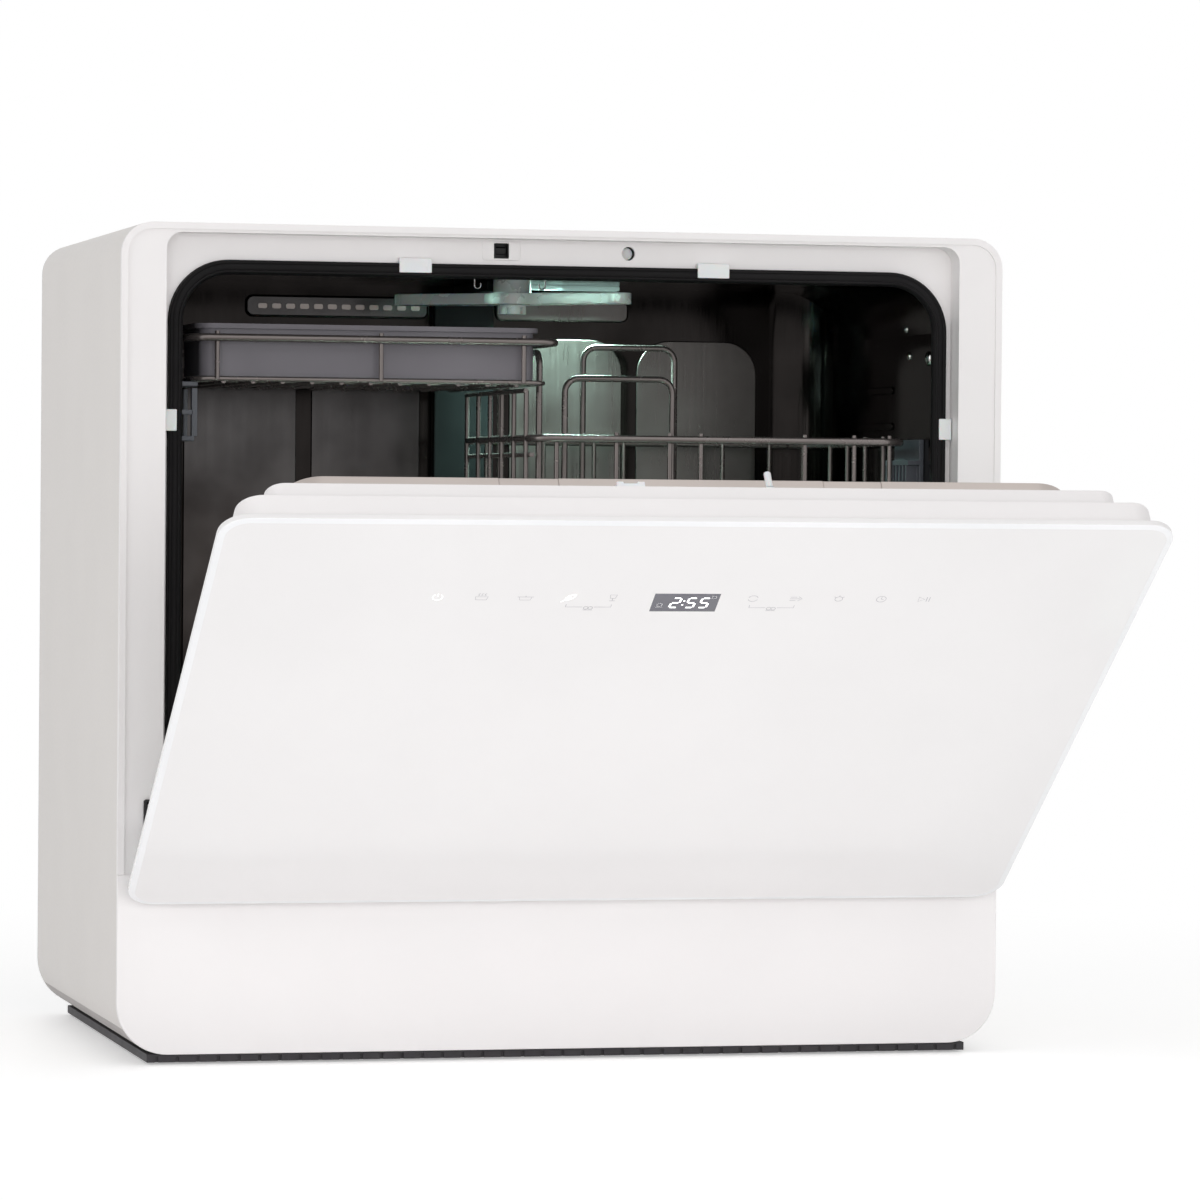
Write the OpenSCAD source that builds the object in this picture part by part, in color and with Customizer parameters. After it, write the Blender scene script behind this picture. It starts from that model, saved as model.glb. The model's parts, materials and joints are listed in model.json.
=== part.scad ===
// Countertop dishwasher with a drop-down glass door, standing half open.
// X runs to the right, Y to the back and Z up. The origin is on the worktop, in the middle of the front.
// The door is drawn closed, and at_door() swings it about the hinge pins.

/* [Body] */
// Width of the body
body_w = 550; // [530:5:600]
// Height of the body, feet included
body_h = 504; // [490:2:540]
// Depth of the body, from the front frame to the rear panel
body_d = 340; // [336:2:400]
// Height of the dark skirt and feet under the body
skirt_h = 6; // [5:0.5:10]
// Radius of the two top corners
top_r = 19; // [12:1:30]
// Radius of the two bottom corners
bottom_r = 31; // [24:1:36]
// Height of the lower panel under the seam
panel_h = 108; // [104:1:112]
// Height of the base tray's outer edge
base_edge = 15; // [12:1:20]
// Wall of the plastic mouldings
wall = 2.5; // [2:0.1:3]
// Thickness of the painted steel sheet
sheet_t = 1; // [0.6:0.1:1.4]
// Depth of the frame's outer rim
rim_d = 4; // [3.5:0.5:6]

/* [Front frame] */
// Width of the frame beside the recess
frame_side = 27.3; // [24:0.1:30]
// Height of the frame above the recess
frame_top = 5.6; // [4.5:0.1:8]
// Depth of the recess that the door closes into
recess_d = 19.5; // [18:0.5:22]
// Corner radius of the recess
recess_r = 10; // [6:1:14]
// How far the frame's face lies behind its outer lip
cove_d = 1.6; // [1:0.1:2]
// Width of the outer lip
lip_w = 4; // [3:0.5:6]

/* [Tub] */
// Distance from the body's side to the inside of the tub
tub_side_gap = 34; // [32:1:38]
// Distance from the back of the body to the inside of the tub's rear wall
tub_rear_gap = 68; // [64:1:78]
// Height of the tub floor above the worktop
floor_z = 128; // [126:1:132]
// Distance from the top of the body down to the tub ceiling
ceiling_gap = 24; // [23:0.5:28]
// Thickness of the tub's steel
tub_t = 0.8; // [0.5:0.1:1.2]
// Radius of the tub's upper corners
tub_r = 34; // [26:1:40]
// Radius of the tub's upright rear corners
tub_rear_r = 40; // [30:1:50]
// How far the frame's opening is larger than the tub inside, on each side
opening_step = 3; // [2:0.5:4]
// How far the gasket reaches in from the opening
gasket_w = 7; // [5:0.5:8]
// Width of the side runners that the basket wheels run on
runner_w = 16; // [14:1:20]
// Height of the side runners
runner_h = 12; // [10:1:14]

/* [Door] */
// Angle of the door from closed
door_open = 54.6; // [0:0.1:90]
// How far the glass stays back from the body's sides
glass_side_gap = 3; // [1:1:15]
// How far the closed glass ends below the top of the body
glass_top_gap = 2; // [1:1:6]
// Thickness of the glass
glass_t = 4; // [3:0.5:5]
// Corner radius of the glass
glass_r = 17; // [10:1:24]
// Distance of the closed glass face in front of the body
door_stand = 19; // [18:0.5:22]
// Height of the glass's lower edge on the closed door
glass_z = 102; // [100:0.5:103]
// How far the door's outer carrier stays back from the body's sides
carrier_side_gap = 14; // [12:1:18]
// Gap between the recess and the part of the door that enters it
plug_gap = 4.7; // [3.7:0.1:9.7]
// Depth of the part of the door that enters the recess
plug_d = 13; // [11:0.5:14]
// Gap between the tub's side and the raised steel liner
liner_side_gap = 13; // [11:1:21]
// How far the liner stands into the tub
liner_d = 21; // [16:0.5:22]
// Thickness of the liner's steel
liner_t = 0.8; // [0.5:0.1:1]

/* [Hinges] */
// Distance of the pivot behind the glass face
pivot_back = 9.5; // [9.5:0.1:10.5]
// Height of the pivot above the glass's lower edge
pivot_up = 5; // [4:0.5:7]
// Diameter of the hinge pins
pin_d = 5; // [4:0.5:5.5]
// Radial clearance of the pins in the arms
pin_gap = 0.05; // [0.02:0.01:0.09]
// Inner radius of the curved hinge arm
arm_r_in = 38; // [36:0.5:40]
// Outer radius of the curved hinge arm
arm_r_out = 50; // [47:0.5:51]
// Thickness of the hinge plates
plate_t = 3; // [2:0.5:3]
// Distance from the body's side to the outer face of the arm
arm_inset = 18; // [17.5:0.5:19]
// Outer diameter of the door springs
spring_d = 10; // [8:0.5:11]

/* [Controls] */
// Distance between two touch keys
key_pitch = 25; // [22:0.5:27]
// Distance from the middle to the first touch key
key_first = 40.5; // [34:0.5:45]
// Number of touch keys on each side of the display
key_count = 5; // [3:1:5]
// Distance of the touch keys below the top of the glass
key_drop = 75; // [62:1:87]
// Distance of the display to the right of the middle
display_x = 2; // [0:0.5:4]
// Width of the display
display_w = 38; // [30:1:44]
// Height of the display
display_h = 18; // [14:1:22]

/* [Latch] */
// Distance of the latch to the left of the middle
latch_x = 39; // [35:1:45]
// Side of the latch mouth
latch_mouth = 9.4; // [8:0.2:10.4]
// Distance of the door switch to the right of the middle
switch_x = 41; // [36:1:46]
// Diameter of the door switch plunger
plunger_d = 8; // [6:0.5:9]

/* [Racks] */
// Diameter of the rail wire
rail_d = 4.8; // [4:0.2:5.4]
// Diameter of the thin wire
wire_d = 3; // [2.4:0.2:3.6]
// Gap between the tub's side and the lower basket
basket_side_gap = 14; // [13:1:18]
// Gap between the tub's rear wall and both racks
rack_rear_gap = 27; // [25:1:37]
// Distance from the body's front to the racks
rack_y = 45; // [43:0.5:48]
// Height of the lower basket's floor wires
basket_z = 153; // [152:0.5:156]
// Distance from the tub ceiling down to the rail around the cup side
cup_rail_drop = 102; // [95:1:120]
// Height of the rail around the plate side
plate_rail_z = 225; // [210:1:250]
// Place of the fence between cups and plates
fence_x = -12; // [-24:1:-8]
// Distance from the tub ceiling down to the upper rack's floor
upper_drop = 68; // [64:1:72]
// Height of the upper rack's sides
upper_h = 25; // [20:1:28]
// Diameter of the basket wheels
wheel_d = 20; // [18:0.5:22]

/* [Washing] */
// How far the lower spray arm ends before the tub's front and rear
lower_arm_gap = 20; // [16:1:35]
// How far the upper spray arm ends before the tub's front and rear
upper_arm_gap = 43; // [30:1:55]
// Diameter of the spray arm spindles
spindle_d = 10; // [8:0.5:12]
// Running clearance of the rotating pieces
run_gap = 0.08; // [0.04:0.01:0.09]
// Diameter of the sump
sump_d = 150; // [140:2:160]
// Diameter of the filter cup
filter_d = 56; // [50:1:60]
// Diameter of the wash pump's volute
pump_d = 70; // [64:1:76]

/* [Rear fittings] */
// Outside diameter of the water inlet thread
inlet_d = 26.4; // [20:0.1:27]
// Outside diameter of the drain spigot
drain_d = 18; // [16:0.5:21]
// Bore of the cord gland
gland_bore = 8.2; // [7:0.1:10]
// Height of the fittings above the worktop
fitting_z = 52; // [50:1:54]
// Depth of the pocket that the fittings stand in
pocket_d = 14; // [12:1:18]
// How far the fittings stand out behind the rear panel
fitting_out = 2; // [1:0.5:8]

/* [Hidden] */
$fn = 64;

// Clearance between a moving piece and its neighbour
gap = 0.3;
// Overshoot of a cut past the face that it opens
cut = 1;

half_w = body_w / 2;
seam_z = skirt_h + panel_h;
recess_half = half_w - frame_side;
recess_top = body_h - frame_top;
floor_back = recess_d + wall;
tub_half = half_w - tub_side_gap;
ceiling_z = body_h - ceiling_gap;
opening_half = tub_half + opening_step;
opening_top = ceiling_z + opening_step;
opening_r = tub_r + opening_step;
sill_r = 6;
tub_y = floor_back;
tub_back = body_d - tub_rear_gap;
tub_d = tub_back - tub_y;
pocket_y = body_d - pocket_d;
pocket_top = 76;
pocket_half = half_w - 40;
base_z = skirt_h + base_edge;
base_floor = skirt_h + wall;

// Depths of the door's layers behind the closed glass face
glass_y = -door_stand;
carrier_back = -1;
plug_back = carrier_back + plug_d;
liner_back = plug_back + liner_d;
pivot_y = glass_y + pivot_back;
pivot_z = glass_z + pivot_up;
glass_top = body_h - glass_top_gap;
glass_w = body_w - 2 * glass_side_gap;
carrier_w = body_w - 2 * carrier_side_gap;
plug_w = 2 * (recess_half - plug_gap);
liner_w = 2 * (tub_half - liner_side_gap);
carrier_z = glass_z + 1.5;
carrier_top = glass_top - 2.5;
plug_z = 124;
plug_top = recess_top - 5.8;
liner_z = floor_z + 14;
liner_top = ceiling_z - 10;

// Places of the hinge plates, from the middle outwards
arm_x1 = half_w - arm_inset;
arm_x0 = arm_x1 - plate_t;
bracket_x1 = arm_x0 - 1;
bracket_x0 = bracket_x1 - plate_t;
ear_r = pivot_back - glass_t - 0.5;
arm_leg = 84;
arm_tail = -30;
stud_angle = -25;
stud_r = (arm_r_in + arm_r_out) / 2;
stud_d = 4;
spring_x = arm_x1 + spring_d / 2 + 1.5;
anchor_y = 165;
anchor_z = 30;
eye_r = 3.6;
spring_wire = 1.6;
// Place of the arm's stud with the door open by door_open, and the spring's run from there
stud_now = stud_angle + door_open;
stud_y = pivot_y + stud_r * cos(stud_now);
stud_z = pivot_z + stud_r * sin(stud_now);
spring_run = norm([anchor_y - stud_y, anchor_z - stud_z]);
spring_tilt = atan2(anchor_z - stud_z, anchor_y - stud_y);
// Slots in the frame that the curved arms pass through
slot_z0 = pivot_z + 22;
slot_z1 = slot_z0 + 29;

latch_z = (opening_top + recess_top) / 2 + 0.6;
latch_tilt = 15;
latch_back = tub_y + 26;
bolt_w = 7;
bolt_h = 4.2;
bolt_len = 18;
bolt_out = 11;
plunger_y1 = tub_y + tub_t + 6;
peg_d = 4;
peg_len = 12;

seal_gap = 0.4;
clip_w = 20;
clip_x = 93.4;
clip_back = recess_d - 4;
clip_side_z = ceiling_z - 94;
clip_side_h = 13;
lamp_x = 60;
lamp_w = 60;
foot_d = 30;
// Inner face of the posts that carry the tub
post_x = tub_half - 40;
post_w = 8;
// Scoops in the liner's top edge that clear the clips
scoop_w = 34;
scoop_x = 3;

key_z = glass_top - key_drop;
board_w = 2 * (key_first + (key_count - 1) * key_pitch) + 24;
board_y = glass_y + glass_t + 2;
disp_x = 40;
disp_w = 150;
disp_z = 220;
disp_h = 86;
disp_back = liner_back + 1.6;
lid_y0 = disp_back + gap;
lid_y1 = lid_y0 + 2.2;
lid_w = 64;
cup_w = 58;
cup_x = disp_x - 42;
rinse_x = disp_x + 48;
rinse_d = 36;

basket_half = tub_half - basket_side_gap;
rack_back = tub_back - rack_rear_gap;
rack_d = rack_back - rack_y;
rail_r = rail_d / 2;
wire_r = wire_d / 2;
wire_tip = 4;
wire_in = 1.2;
loop_d = 4;
loop_r = 9;
tall_x = 0.8;
cup_wires = [41, 75, 95, 162, 194, 217] * basket_half / 227;
runner_clear = 0.1;
wheel_z = floor_z + runner_h + wheel_d / 2 + runner_clear;
wheel_y = [rack_y + 30, rack_back - 30];
wheel_w = 6;
wheel_x0 = basket_half + rail_r + 0.6;
wheel_x1 = wheel_x0 + wheel_w;
axle_d = 5;
upper_z = ceiling_z - upper_drop;
cup_rail_z = ceiling_z - cup_rail_drop;
shelf_z = upper_z - wire_r - gap;
rack_x0 = -basket_half + 1;
rack_x1 = 3;
upper_rail_z = upper_z + upper_h;
floor_drop = 1.2;
fence_top = upper_z - floor_drop - wire_d - gap;
tray_z0 = upper_z + wire_r + gap;
tray_h = 32;
tray_wall = 2;

spray_y = tub_y + tub_d / 2 + 3;
lower_reach = tub_d / 2 - lower_arm_gap;
upper_reach = tub_d / 2 - upper_arm_gap;
filter_x = 44;
filter_y = spray_y - 43;
arm_z = floor_z + 9;
upper_arm_z = ceiling_z - 16;
upper_spray_y = spray_y + 10;
arm_th = 7;

sump_x = 22;
sump_y = spray_y - 22;
sump_z = 62;
sump_hole = sump_d - 24;
sump_wall = 3;
drain_x0 = sump_x + sump_hole / 2 + 14;
drain_x = drain_x0 + 24;
pump_x = -95;
pump_y = sump_y;
pump_z = fitting_z;
pump_len = 92;
pump_wall = 3;
blade_count = 6;
plate_d = sump_d + 8;
heater_y = body_d - 90;
duct_x = -8.5;
duct_w = 40;
duct_d = 9;

inlet_x = half_w - 85;
gland_x = -inlet_x;
gland_neck = 16;
softener_x = -half_w + 110;
softener_y0 = pump_y + pump_d / 2 + 2;
softener_y1 = tub_back - 23;
softener_y = (softener_y0 + softener_y1) / 2 - 2;
cap_d = 52;
float_x = -60;
float_y = 40;

// A block between two corners
module block(x0, x1, y0, y1, z0, z1) {
  translate([x0, y0, z0]) cube([x1 - x0, y1 - y0, z1 - z0]);
}

// An outline in the X-Z plane with r1 at the top corners and r0 at the bottom ones
module gate(half, z0, z1, r1, r0) {
  translate([-half, z0 + r0]) square([2 * half, z1 - z0 - r0 - r1]);
  translate([-half + r1, z1 - r1 - 1]) square([2 * half - 2 * r1, r1 + 1]);
  translate([-half + r0, z0]) square([2 * half - 2 * r0, r0 + 1]);
  for (s = [-1, 1]) {
    translate([s * (half - r1), z1 - r1]) circle(r1);
    translate([s * (half - r0), z0 + r0]) circle(r0);
  }
}

module outline(inset) {
  gate(half_w - inset, skirt_h + inset, body_h - inset, top_r - inset, bottom_r - inset);
}

module band(z0, z1) {
  translate([-half_w - 10, z0]) square([body_w + 20, z1 - z0]);
}

module rounded(x0, x1, z0, z1, r) {
  translate([x0 + r, z0]) square([x1 - x0 - 2 * r, z1 - z0]);
  translate([x0, z0 + r]) square([x1 - x0, z1 - z0 - 2 * r]);
  for (x = [x0 + r, x1 - r], z = [z0 + r, z1 - r]) translate([x, z]) circle(r);
}

// A rounded top and square feet
module arch(half, z0, z1, r) {
  translate([-half, z0]) square([2 * half, z1 - z0 - r]);
  translate([-half + r, z0]) square([2 * half - 2 * r, z1 - z0]);
  for (s = [-1, 1]) translate([s * (half - r), z1 - r]) circle(r);
}

// A block on one side, where s is -1 or 1 and x0 and x1 count from the middle outwards
module beside(s, x0, x1, y0, y1, z0, z1) {
  block(s > 0 ? x0 : -x1, s > 0 ? x1 : -x0, y0, y1, z0, z1);
}

module slab(y0, y1) {
  translate([0, y1, 0]) rotate([90, 0, 0]) linear_extrude(y1 - y0) children();
}

// A cylinder along X, from x0 to x1
module rod_x(d, x0, x1, y, z) {
  translate([min(x0, x1), y, z]) rotate([0, 90, 0]) cylinder(d = d, h = abs(x1 - x0));
}

// A cylinder along Y, from y0 to y1
module rod_y(d, y0, y1, x, z) {
  translate([x, y1, z]) rotate([90, 0, 0]) cylinder(d = d, h = y1 - y0);
}

module rod_z(d, z0, z1, x, y) {
  translate([x, y, z0]) cylinder(d = d, h = z1 - z0);
}

// A quarter of a ring of wire, turned by the parent
module elbow(d, r) {
  rotate_extrude(angle = 90) translate([r, 0]) circle(d = d, $fn = 32);
}

// A level closed rail with round corners
module rail_ring(x0, x1, y0, y1, z, d, r) {
  $fn = 32;
  for (y = [y0, y1]) rod_x(d, x0 + r, x1 - r, y, z);
  for (x = [x0, x1]) rod_y(d, y0 + r, y1 - r, x, z);
  translate([x1 - r, y1 - r, z]) elbow(d, r);
  translate([x0 + r, y1 - r, z]) rotate([0, 0, 90]) elbow(d, r);
  translate([x0 + r, y0 + r, z]) rotate([0, 0, 180]) elbow(d, r);
  translate([x1 - r, y0 + r, z]) rotate([0, 0, 270]) elbow(d, r);
}

// An upright loop of wire across X
module loop_x(x0, x1, y, z0, z1, d, r) {
  $fn = 32;
  for (x = [x0, x1]) rod_z(d, z0, z1 - r, x, y);
  rod_x(d, x0 + r, x1 - r, y, z1);
  translate([x1 - r, y, z1 - r]) rotate([90, 0, 0]) elbow(d, r);
  translate([x0 + r, y, z1 - r]) rotate([90, 0, 0]) rotate([0, 0, 90]) elbow(d, r);
}

module at_door() {
  translate([0, pivot_y, pivot_z]) rotate([door_open, 0, 0]) translate([0, -pivot_y, -pivot_z]) children();
}

// Mirrors a piece that is drawn on the right
module on_left() {
  mirror([1, 0, 0]) children();
}

// Body shells
module front_frame() color("white") {
  difference() {
    union() {
      slab(0, rim_d) intersection() {
        difference() {
          outline(0);
          outline(lip_w);
        }
        band(seam_z, body_h);
      }
      slab(cove_d, cove_d + wall) intersection() {
        outline(lip_w);
        band(seam_z, body_h);
      }
      slab(cove_d, floor_back) arch(recess_half + wall, seam_z, recess_top + wall, recess_r + wall);
    }
    slab(-cut, recess_d) arch(recess_half, seam_z - cut, recess_top, recess_r);
    slab(-cut, floor_back + cut) gate(opening_half, floor_z, opening_top, opening_r, sill_r);
    for (s = [-1, 1]) beside(s, arm_x0 - 1.5, arm_x1 + 1.5, -cut, rim_d + cut, slot_z0, slot_z1);
    block(-latch_x - latch_mouth / 2, -latch_x + latch_mouth / 2, recess_d - cut, floor_back + cut,
      latch_z - latch_mouth / 2, latch_z + latch_mouth / 2);
    rod_y(plunger_d + 0.4, recess_d - cut, floor_back + cut, switch_x, latch_z);
  }
}

module lower_panel() color("white") difference() {
  union() {
    slab(0, wall) intersection() {
      outline(0);
      band(skirt_h, seam_z);
    }
    slab(wall, rim_d) intersection() {
      difference() {
        outline(0);
        outline(wall);
      }
      band(skirt_h, seam_z);
    }
    block(-recess_half, recess_half, wall, recess_d, seam_z - wall, seam_z);
  }
  for (s = [-1, 1])
    beside(s, bracket_x0 - 1, arm_x1 + 1, -cut, rim_d + cut, pivot_z - ear_r - 2, seam_z + cut);
}

module outer_wrap() color("gainsboro") slab(rim_d, body_d - sheet_t) intersection() {
  difference() {
    outline(0);
    outline(sheet_t);
  }
  band(base_z, body_h);
}

module rear_panel() color("gainsboro") difference() {
  slab(body_d - sheet_t, body_d) intersection() {
    outline(0);
    band(base_z, body_h);
  }
  block(-pocket_half, pocket_half, body_d - 2 * sheet_t, body_d + cut, base_z - cut, pocket_top);
  for (i = [0 : 7], s = [-1, 1])
    slab(body_d - 2 * sheet_t, body_d + cut)
      translate([s * 200, 150 + i * 12]) square([60, 4], center = true);
}

module base_tray() color("silver") {
  difference() {
    slab(rim_d, body_d) intersection() {
      outline(0);
      band(skirt_h, base_z);
    }
    slab(rim_d + wall, body_d - wall) intersection() {
      outline(wall);
      band(base_floor, base_z + cut);
    }
  }
  intersection() {
    slab(rim_d, body_d) outline(sheet_t + gap);
    union() for (s = [-1, 1]) {
      // Upright wall inside the wrap, with the rib that joins it to the floor
      beside(s, half_w - sheet_t - gap - wall, half_w - sheet_t - gap, 20, body_d - sheet_t - gap,
        skirt_h, 60);
      beside(s, half_w - 26, half_w - sheet_t - gap - wall, tub_back - 82, tub_back - 82 + wall,
        base_floor, 58);
      // Post that carries the hinge bracket
      beside(s, bracket_x0 - wall, bracket_x0, 30, 66, base_floor, pivot_z + ear_r);
      // Posts that carry the tub
      for (y = [tub_y + 12, tub_back - 22])
        beside(s, post_x, post_x + post_w, y, y + 10, base_floor, floor_z - tub_t);
      // Post and stud for the door spring
      beside(s, arm_x1 - 5, arm_x1, anchor_y - 5, anchor_y + 5, base_floor, anchor_z + 5);
      rod_x(stud_d, s * arm_x1, s * (spring_x + 3), anchor_y, anchor_z);
    }
  }
  // Pocket for the fittings
  difference() {
    block(-pocket_half - wall, pocket_half + wall, pocket_y, body_d - sheet_t, base_floor, pocket_top);
    block(-pocket_half, pocket_half, pocket_y + wall, body_d + cut, base_floor - cut, pocket_top - wall);
    rod_y(inlet_d + 2, pocket_y - cut, pocket_y + wall + cut, inlet_x, fitting_z);
    rod_y(drain_d + 2, pocket_y - cut, pocket_y + wall + cut, drain_x, fitting_z);
    rod_y(gland_neck + 0.4, pocket_y - cut, pocket_y + wall + cut, gland_x, fitting_z);
  }
}

module base_skirt() color("dimgray") difference() {
  block(-half_w + 19, half_w - 19, rim_d, body_d - 8, 1, skirt_h);
  block(-half_w + 27, half_w - 27, rim_d + 8, body_d - 16, 0, skirt_h + cut);
  for (i = [-20 : 20]) block(i * 12.5 - 1, i * 12.5 + 1, rim_d - cut, rim_d + 1.5, 0, skirt_h - 1.5);
}

module feet() color("dimgray") for (s = [-1, 1], y = [40, body_d - 40])
  rod_z(foot_d, 0, skirt_h, s * (half_w - 50), y);

// Tub and seals
module tub_profile(t) {
  arch(tub_half + t, floor_z - t, ceiling_z + t, tub_r + t);
}

module tub_plan(t) {
  r = tub_rear_r + t;
  h = tub_half + t;
  y1 = tub_back + t;
  translate([-h, tub_y - 1]) square([2 * h, y1 - tub_y + 1 - r]);
  translate([-h + r, tub_y - 1]) square([2 * h - 2 * r, y1 - tub_y + 1]);
  for (s = [-1, 1]) translate([s * (h - r), y1 - r]) circle(r);
}

module tub() color("darkgray") {
  difference() {
    intersection() {
      slab(tub_y, tub_back + tub_t) tub_profile(tub_t);
      translate([0, 0, floor_z - 10]) linear_extrude(ceiling_z - floor_z + 20) tub_plan(tub_t);
    }
    intersection() {
      slab(tub_y - cut, tub_back) tub_profile(0);
      translate([0, 0, floor_z - 10]) linear_extrude(ceiling_z - floor_z + 20) tub_plan(0);
    }
    rod_z(sump_hole, floor_z - 5, floor_z + 5, sump_x, sump_y);
    rod_z(cap_d - 8, floor_z - 5, floor_z + 5, softener_x, softener_y);
    rod_z(spindle_d + 2 * gap, ceiling_z - 5, ceiling_z + 5, 0, upper_spray_y);
  }
  // Front flange behind the frame's opening
  slab(tub_y, tub_y + tub_t) difference() {
    arch(opening_half + 3, seam_z + 2, opening_top + 3, opening_r + 3);
    tub_profile(tub_t / 2);
  }
}

// The gasket round the opening, with pockets for the clips, and the seal under its sill
module tub_gasket() color("#1c1c1e") {
  difference() {
    slab(plug_back + seal_gap, tub_y) difference() {
      intersection() {
        gate(opening_half - gap, floor_z + gap, opening_top - gap, opening_r - gap, sill_r);
        band(floor_z + runner_h + 4, body_h);
      }
      rounded(-opening_half + gasket_w, opening_half - gasket_w, floor_z - 60, opening_top - gasket_w,
        opening_r - gasket_w);
    }
    for (s = [-1, 1]) {
      block(s * clip_x - clip_w / 2 - gap, s * clip_x + clip_w / 2 + gap, 0, clip_back + gap,
        ceiling_z - 20, body_h);
      beside(s, opening_half - 14, opening_half + 2, 0, clip_back + gap, clip_side_z - 7, clip_side_z + 7);
    }
  }
  block(-tub_half + 6, tub_half - 6, plug_back + seal_gap, recess_d, seam_z + 3, floor_z - 1);
}

module opening_clips() color("whitesmoke") for (s = [-1, 1]) {
  y0 = plug_back + 1;
  x = s * clip_x - clip_w / 2;
  z = clip_side_z - clip_side_h / 2;
  block(x, x + clip_w, y0, clip_back, opening_top - 6, opening_top + 3);
  block(x, x + clip_w, clip_back, recess_d, opening_top + gap, opening_top + 3);
  beside(s, opening_half - 5, opening_half + 3, y0, clip_back, z, z + clip_side_h);
  beside(s, opening_half + gap, opening_half + 3, clip_back, recess_d, z, z + clip_side_h);
}

module tub_lamp() color("lightcyan")
  block(lamp_x - lamp_w / 2, lamp_x + lamp_w / 2, tub_back - 34, tub_back - 20, ceiling_z - 3, ceiling_z);

// Runners on the tub's floor for the basket wheels
module basket_runners() color("gray") for (s = [-1, 1])
  beside(s, tub_half - runner_w, tub_half, tub_y + 2, tub_back - tub_rear_r, floor_z, floor_z + runner_h);

module rack_bracket_left() color("gray") {
  block(-tub_half, -tub_half + 3, rack_y + 8, rack_y + 70, upper_z - 38, upper_rail_z - 1);
  // Shelf under the upper rack's floor rail
  block(-tub_half + 3, rack_x0 + rail_r + 4, rack_y + 8, rack_y + 70, shelf_z - 3, shelf_z);
  block(-tub_half + 3, rack_x0 + rail_r + 2, rack_y + 8, rack_y + 70, upper_z - 38, upper_z - 35);
  // Upright fingers that join the two shelves
  for (y = [rack_y + 12, rack_y + 62])
    block(-tub_half + 8, -tub_half + 12, y, y + 4, upper_z - 35, shelf_z - 3);
}

module rack_bracket_right() color("gray") {
  x0 = basket_half + rail_r + 1;
  block(tub_half - 3, tub_half, rack_y + 6, rack_y + 60, cup_rail_z - 32, cup_rail_z + 2);
  for (z = [cup_rail_z - 30, cup_rail_z - 14])
    block(x0, tub_half - 3, rack_y + 6, rack_y + 60, z, z + 3);
  for (i = [0 : 6]) let (y = rack_y + 10 + i * 7)
    block(x0, tub_half - 3, y, y + 2, cup_rail_z - 27, cup_rail_z - 14);
}

// Latch and door switch
module at_latch() {
  translate([-latch_x, recess_d + 1.5, latch_z]) rotate([latch_tilt, 0, 0]) children();
}

module latch_housing() color("#1c1c1e") difference() {
  block(-latch_x - 20, switch_x + 14, tub_y + tub_t, latch_back, ceiling_z + tub_t, body_h - sheet_t - 1);
  // Guide of the bolt
  at_latch() block(-bolt_w / 2 - gap, bolt_w / 2 + gap, -5, bolt_len + 1,
    -bolt_h / 2 - gap, bolt_h / 2 + gap);
  // Guide of the plunger
  rod_y(plunger_d - 0.4 + 2 * gap, tub_y, plunger_y1 + cut, switch_x, latch_z);
  rod_y(plunger_d + 2 + 2 * gap, plunger_y1 - gap, plunger_y1 + 8, switch_x, latch_z);
}

// The bolt slides out on a slope, so that a closed door can't pull off it
module latch_bolt() color("#1c1c1e") at_latch()
  block(-bolt_w / 2, bolt_w / 2, 0, bolt_len, -bolt_h / 2, bolt_h / 2);

module switch_plunger() color("whitesmoke") {
  rod_y(plunger_d - 0.4, plug_back + peg_len + 1, plunger_y1, switch_x, latch_z);
  rod_y(plunger_d + 2, plunger_y1, plunger_y1 + 3, switch_x, latch_z);
}

// Door
module door_glass() color("white") at_door()
  slab(glass_y, glass_y + glass_t) rounded(-glass_w / 2, glass_w / 2, glass_z, glass_top, glass_r);

module door_frame() color("white") at_door() difference() {
  union() {
    slab(glass_y + glass_t, carrier_back)
      rounded(-carrier_w / 2, carrier_w / 2, carrier_z, carrier_top, glass_r - 3);
    slab(carrier_back, plug_back) rounded(-plug_w / 2, plug_w / 2, plug_z, plug_top, recess_r);
  }
  slab(glass_y, carrier_back - wall)
    rounded(-bracket_x0 + 5, bracket_x0 - 5, carrier_z + wall, carrier_top - wall, 8);
  slab(carrier_back - wall - cut, plug_back - wall)
    rounded(-plug_w / 2 + wall, plug_w / 2 - wall, plug_z + wall, plug_top - wall, recess_r - wall);
  slab(0, plug_back + cut) rounded(-liner_w / 2 + 6, liner_w / 2 - 6, liner_z + 6, liner_top - 6, 24);
  keeper_mouth();
  // Room for the hinge plates at the lower corners
  for (s = [-1, 1]) {
    beside(s, bracket_x0 - 1, half_w, glass_y, carrier_back + cut, carrier_z - cut, pivot_z + 19);
    beside(s, arm_x0 - gap, arm_x1 + gap, glass_y, carrier_back + cut, pivot_z + 18, pivot_z + arm_leg + gap);
  }
}

module door_liner() color("rosybrown") at_door() {
  difference() {
    union() {
      slab(plug_back, plug_back + liner_t)
        rounded(-liner_w / 2 - 5, liner_w / 2 + 5, liner_z - 5, liner_top + 5, 27);
      slab(plug_back, liner_back) rounded(-liner_w / 2, liner_w / 2, liner_z, liner_top, 22);
    }
    slab(plug_back - cut, liner_back - liner_t)
      rounded(-liner_w / 2 + liner_t, liner_w / 2 - liner_t, liner_z + liner_t, liner_top - liner_t - 6, 22);
    for (s = [-1, 1])
      slab(plug_back + liner_t, liner_back + cut)
        rounded(s * clip_x + scoop_x - scoop_w / 2, s * clip_x + scoop_x + scoop_w / 2,
          liner_top - 5, liner_top + 20, 4);
    // Window for the dispenser
    slab(plug_back - cut, liner_back + cut)
      rounded(disp_x - disp_w / 2 + 3, disp_x + disp_w / 2 - 3, disp_z + 3, disp_z + disp_h - 3, 6);
  }
}

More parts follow.
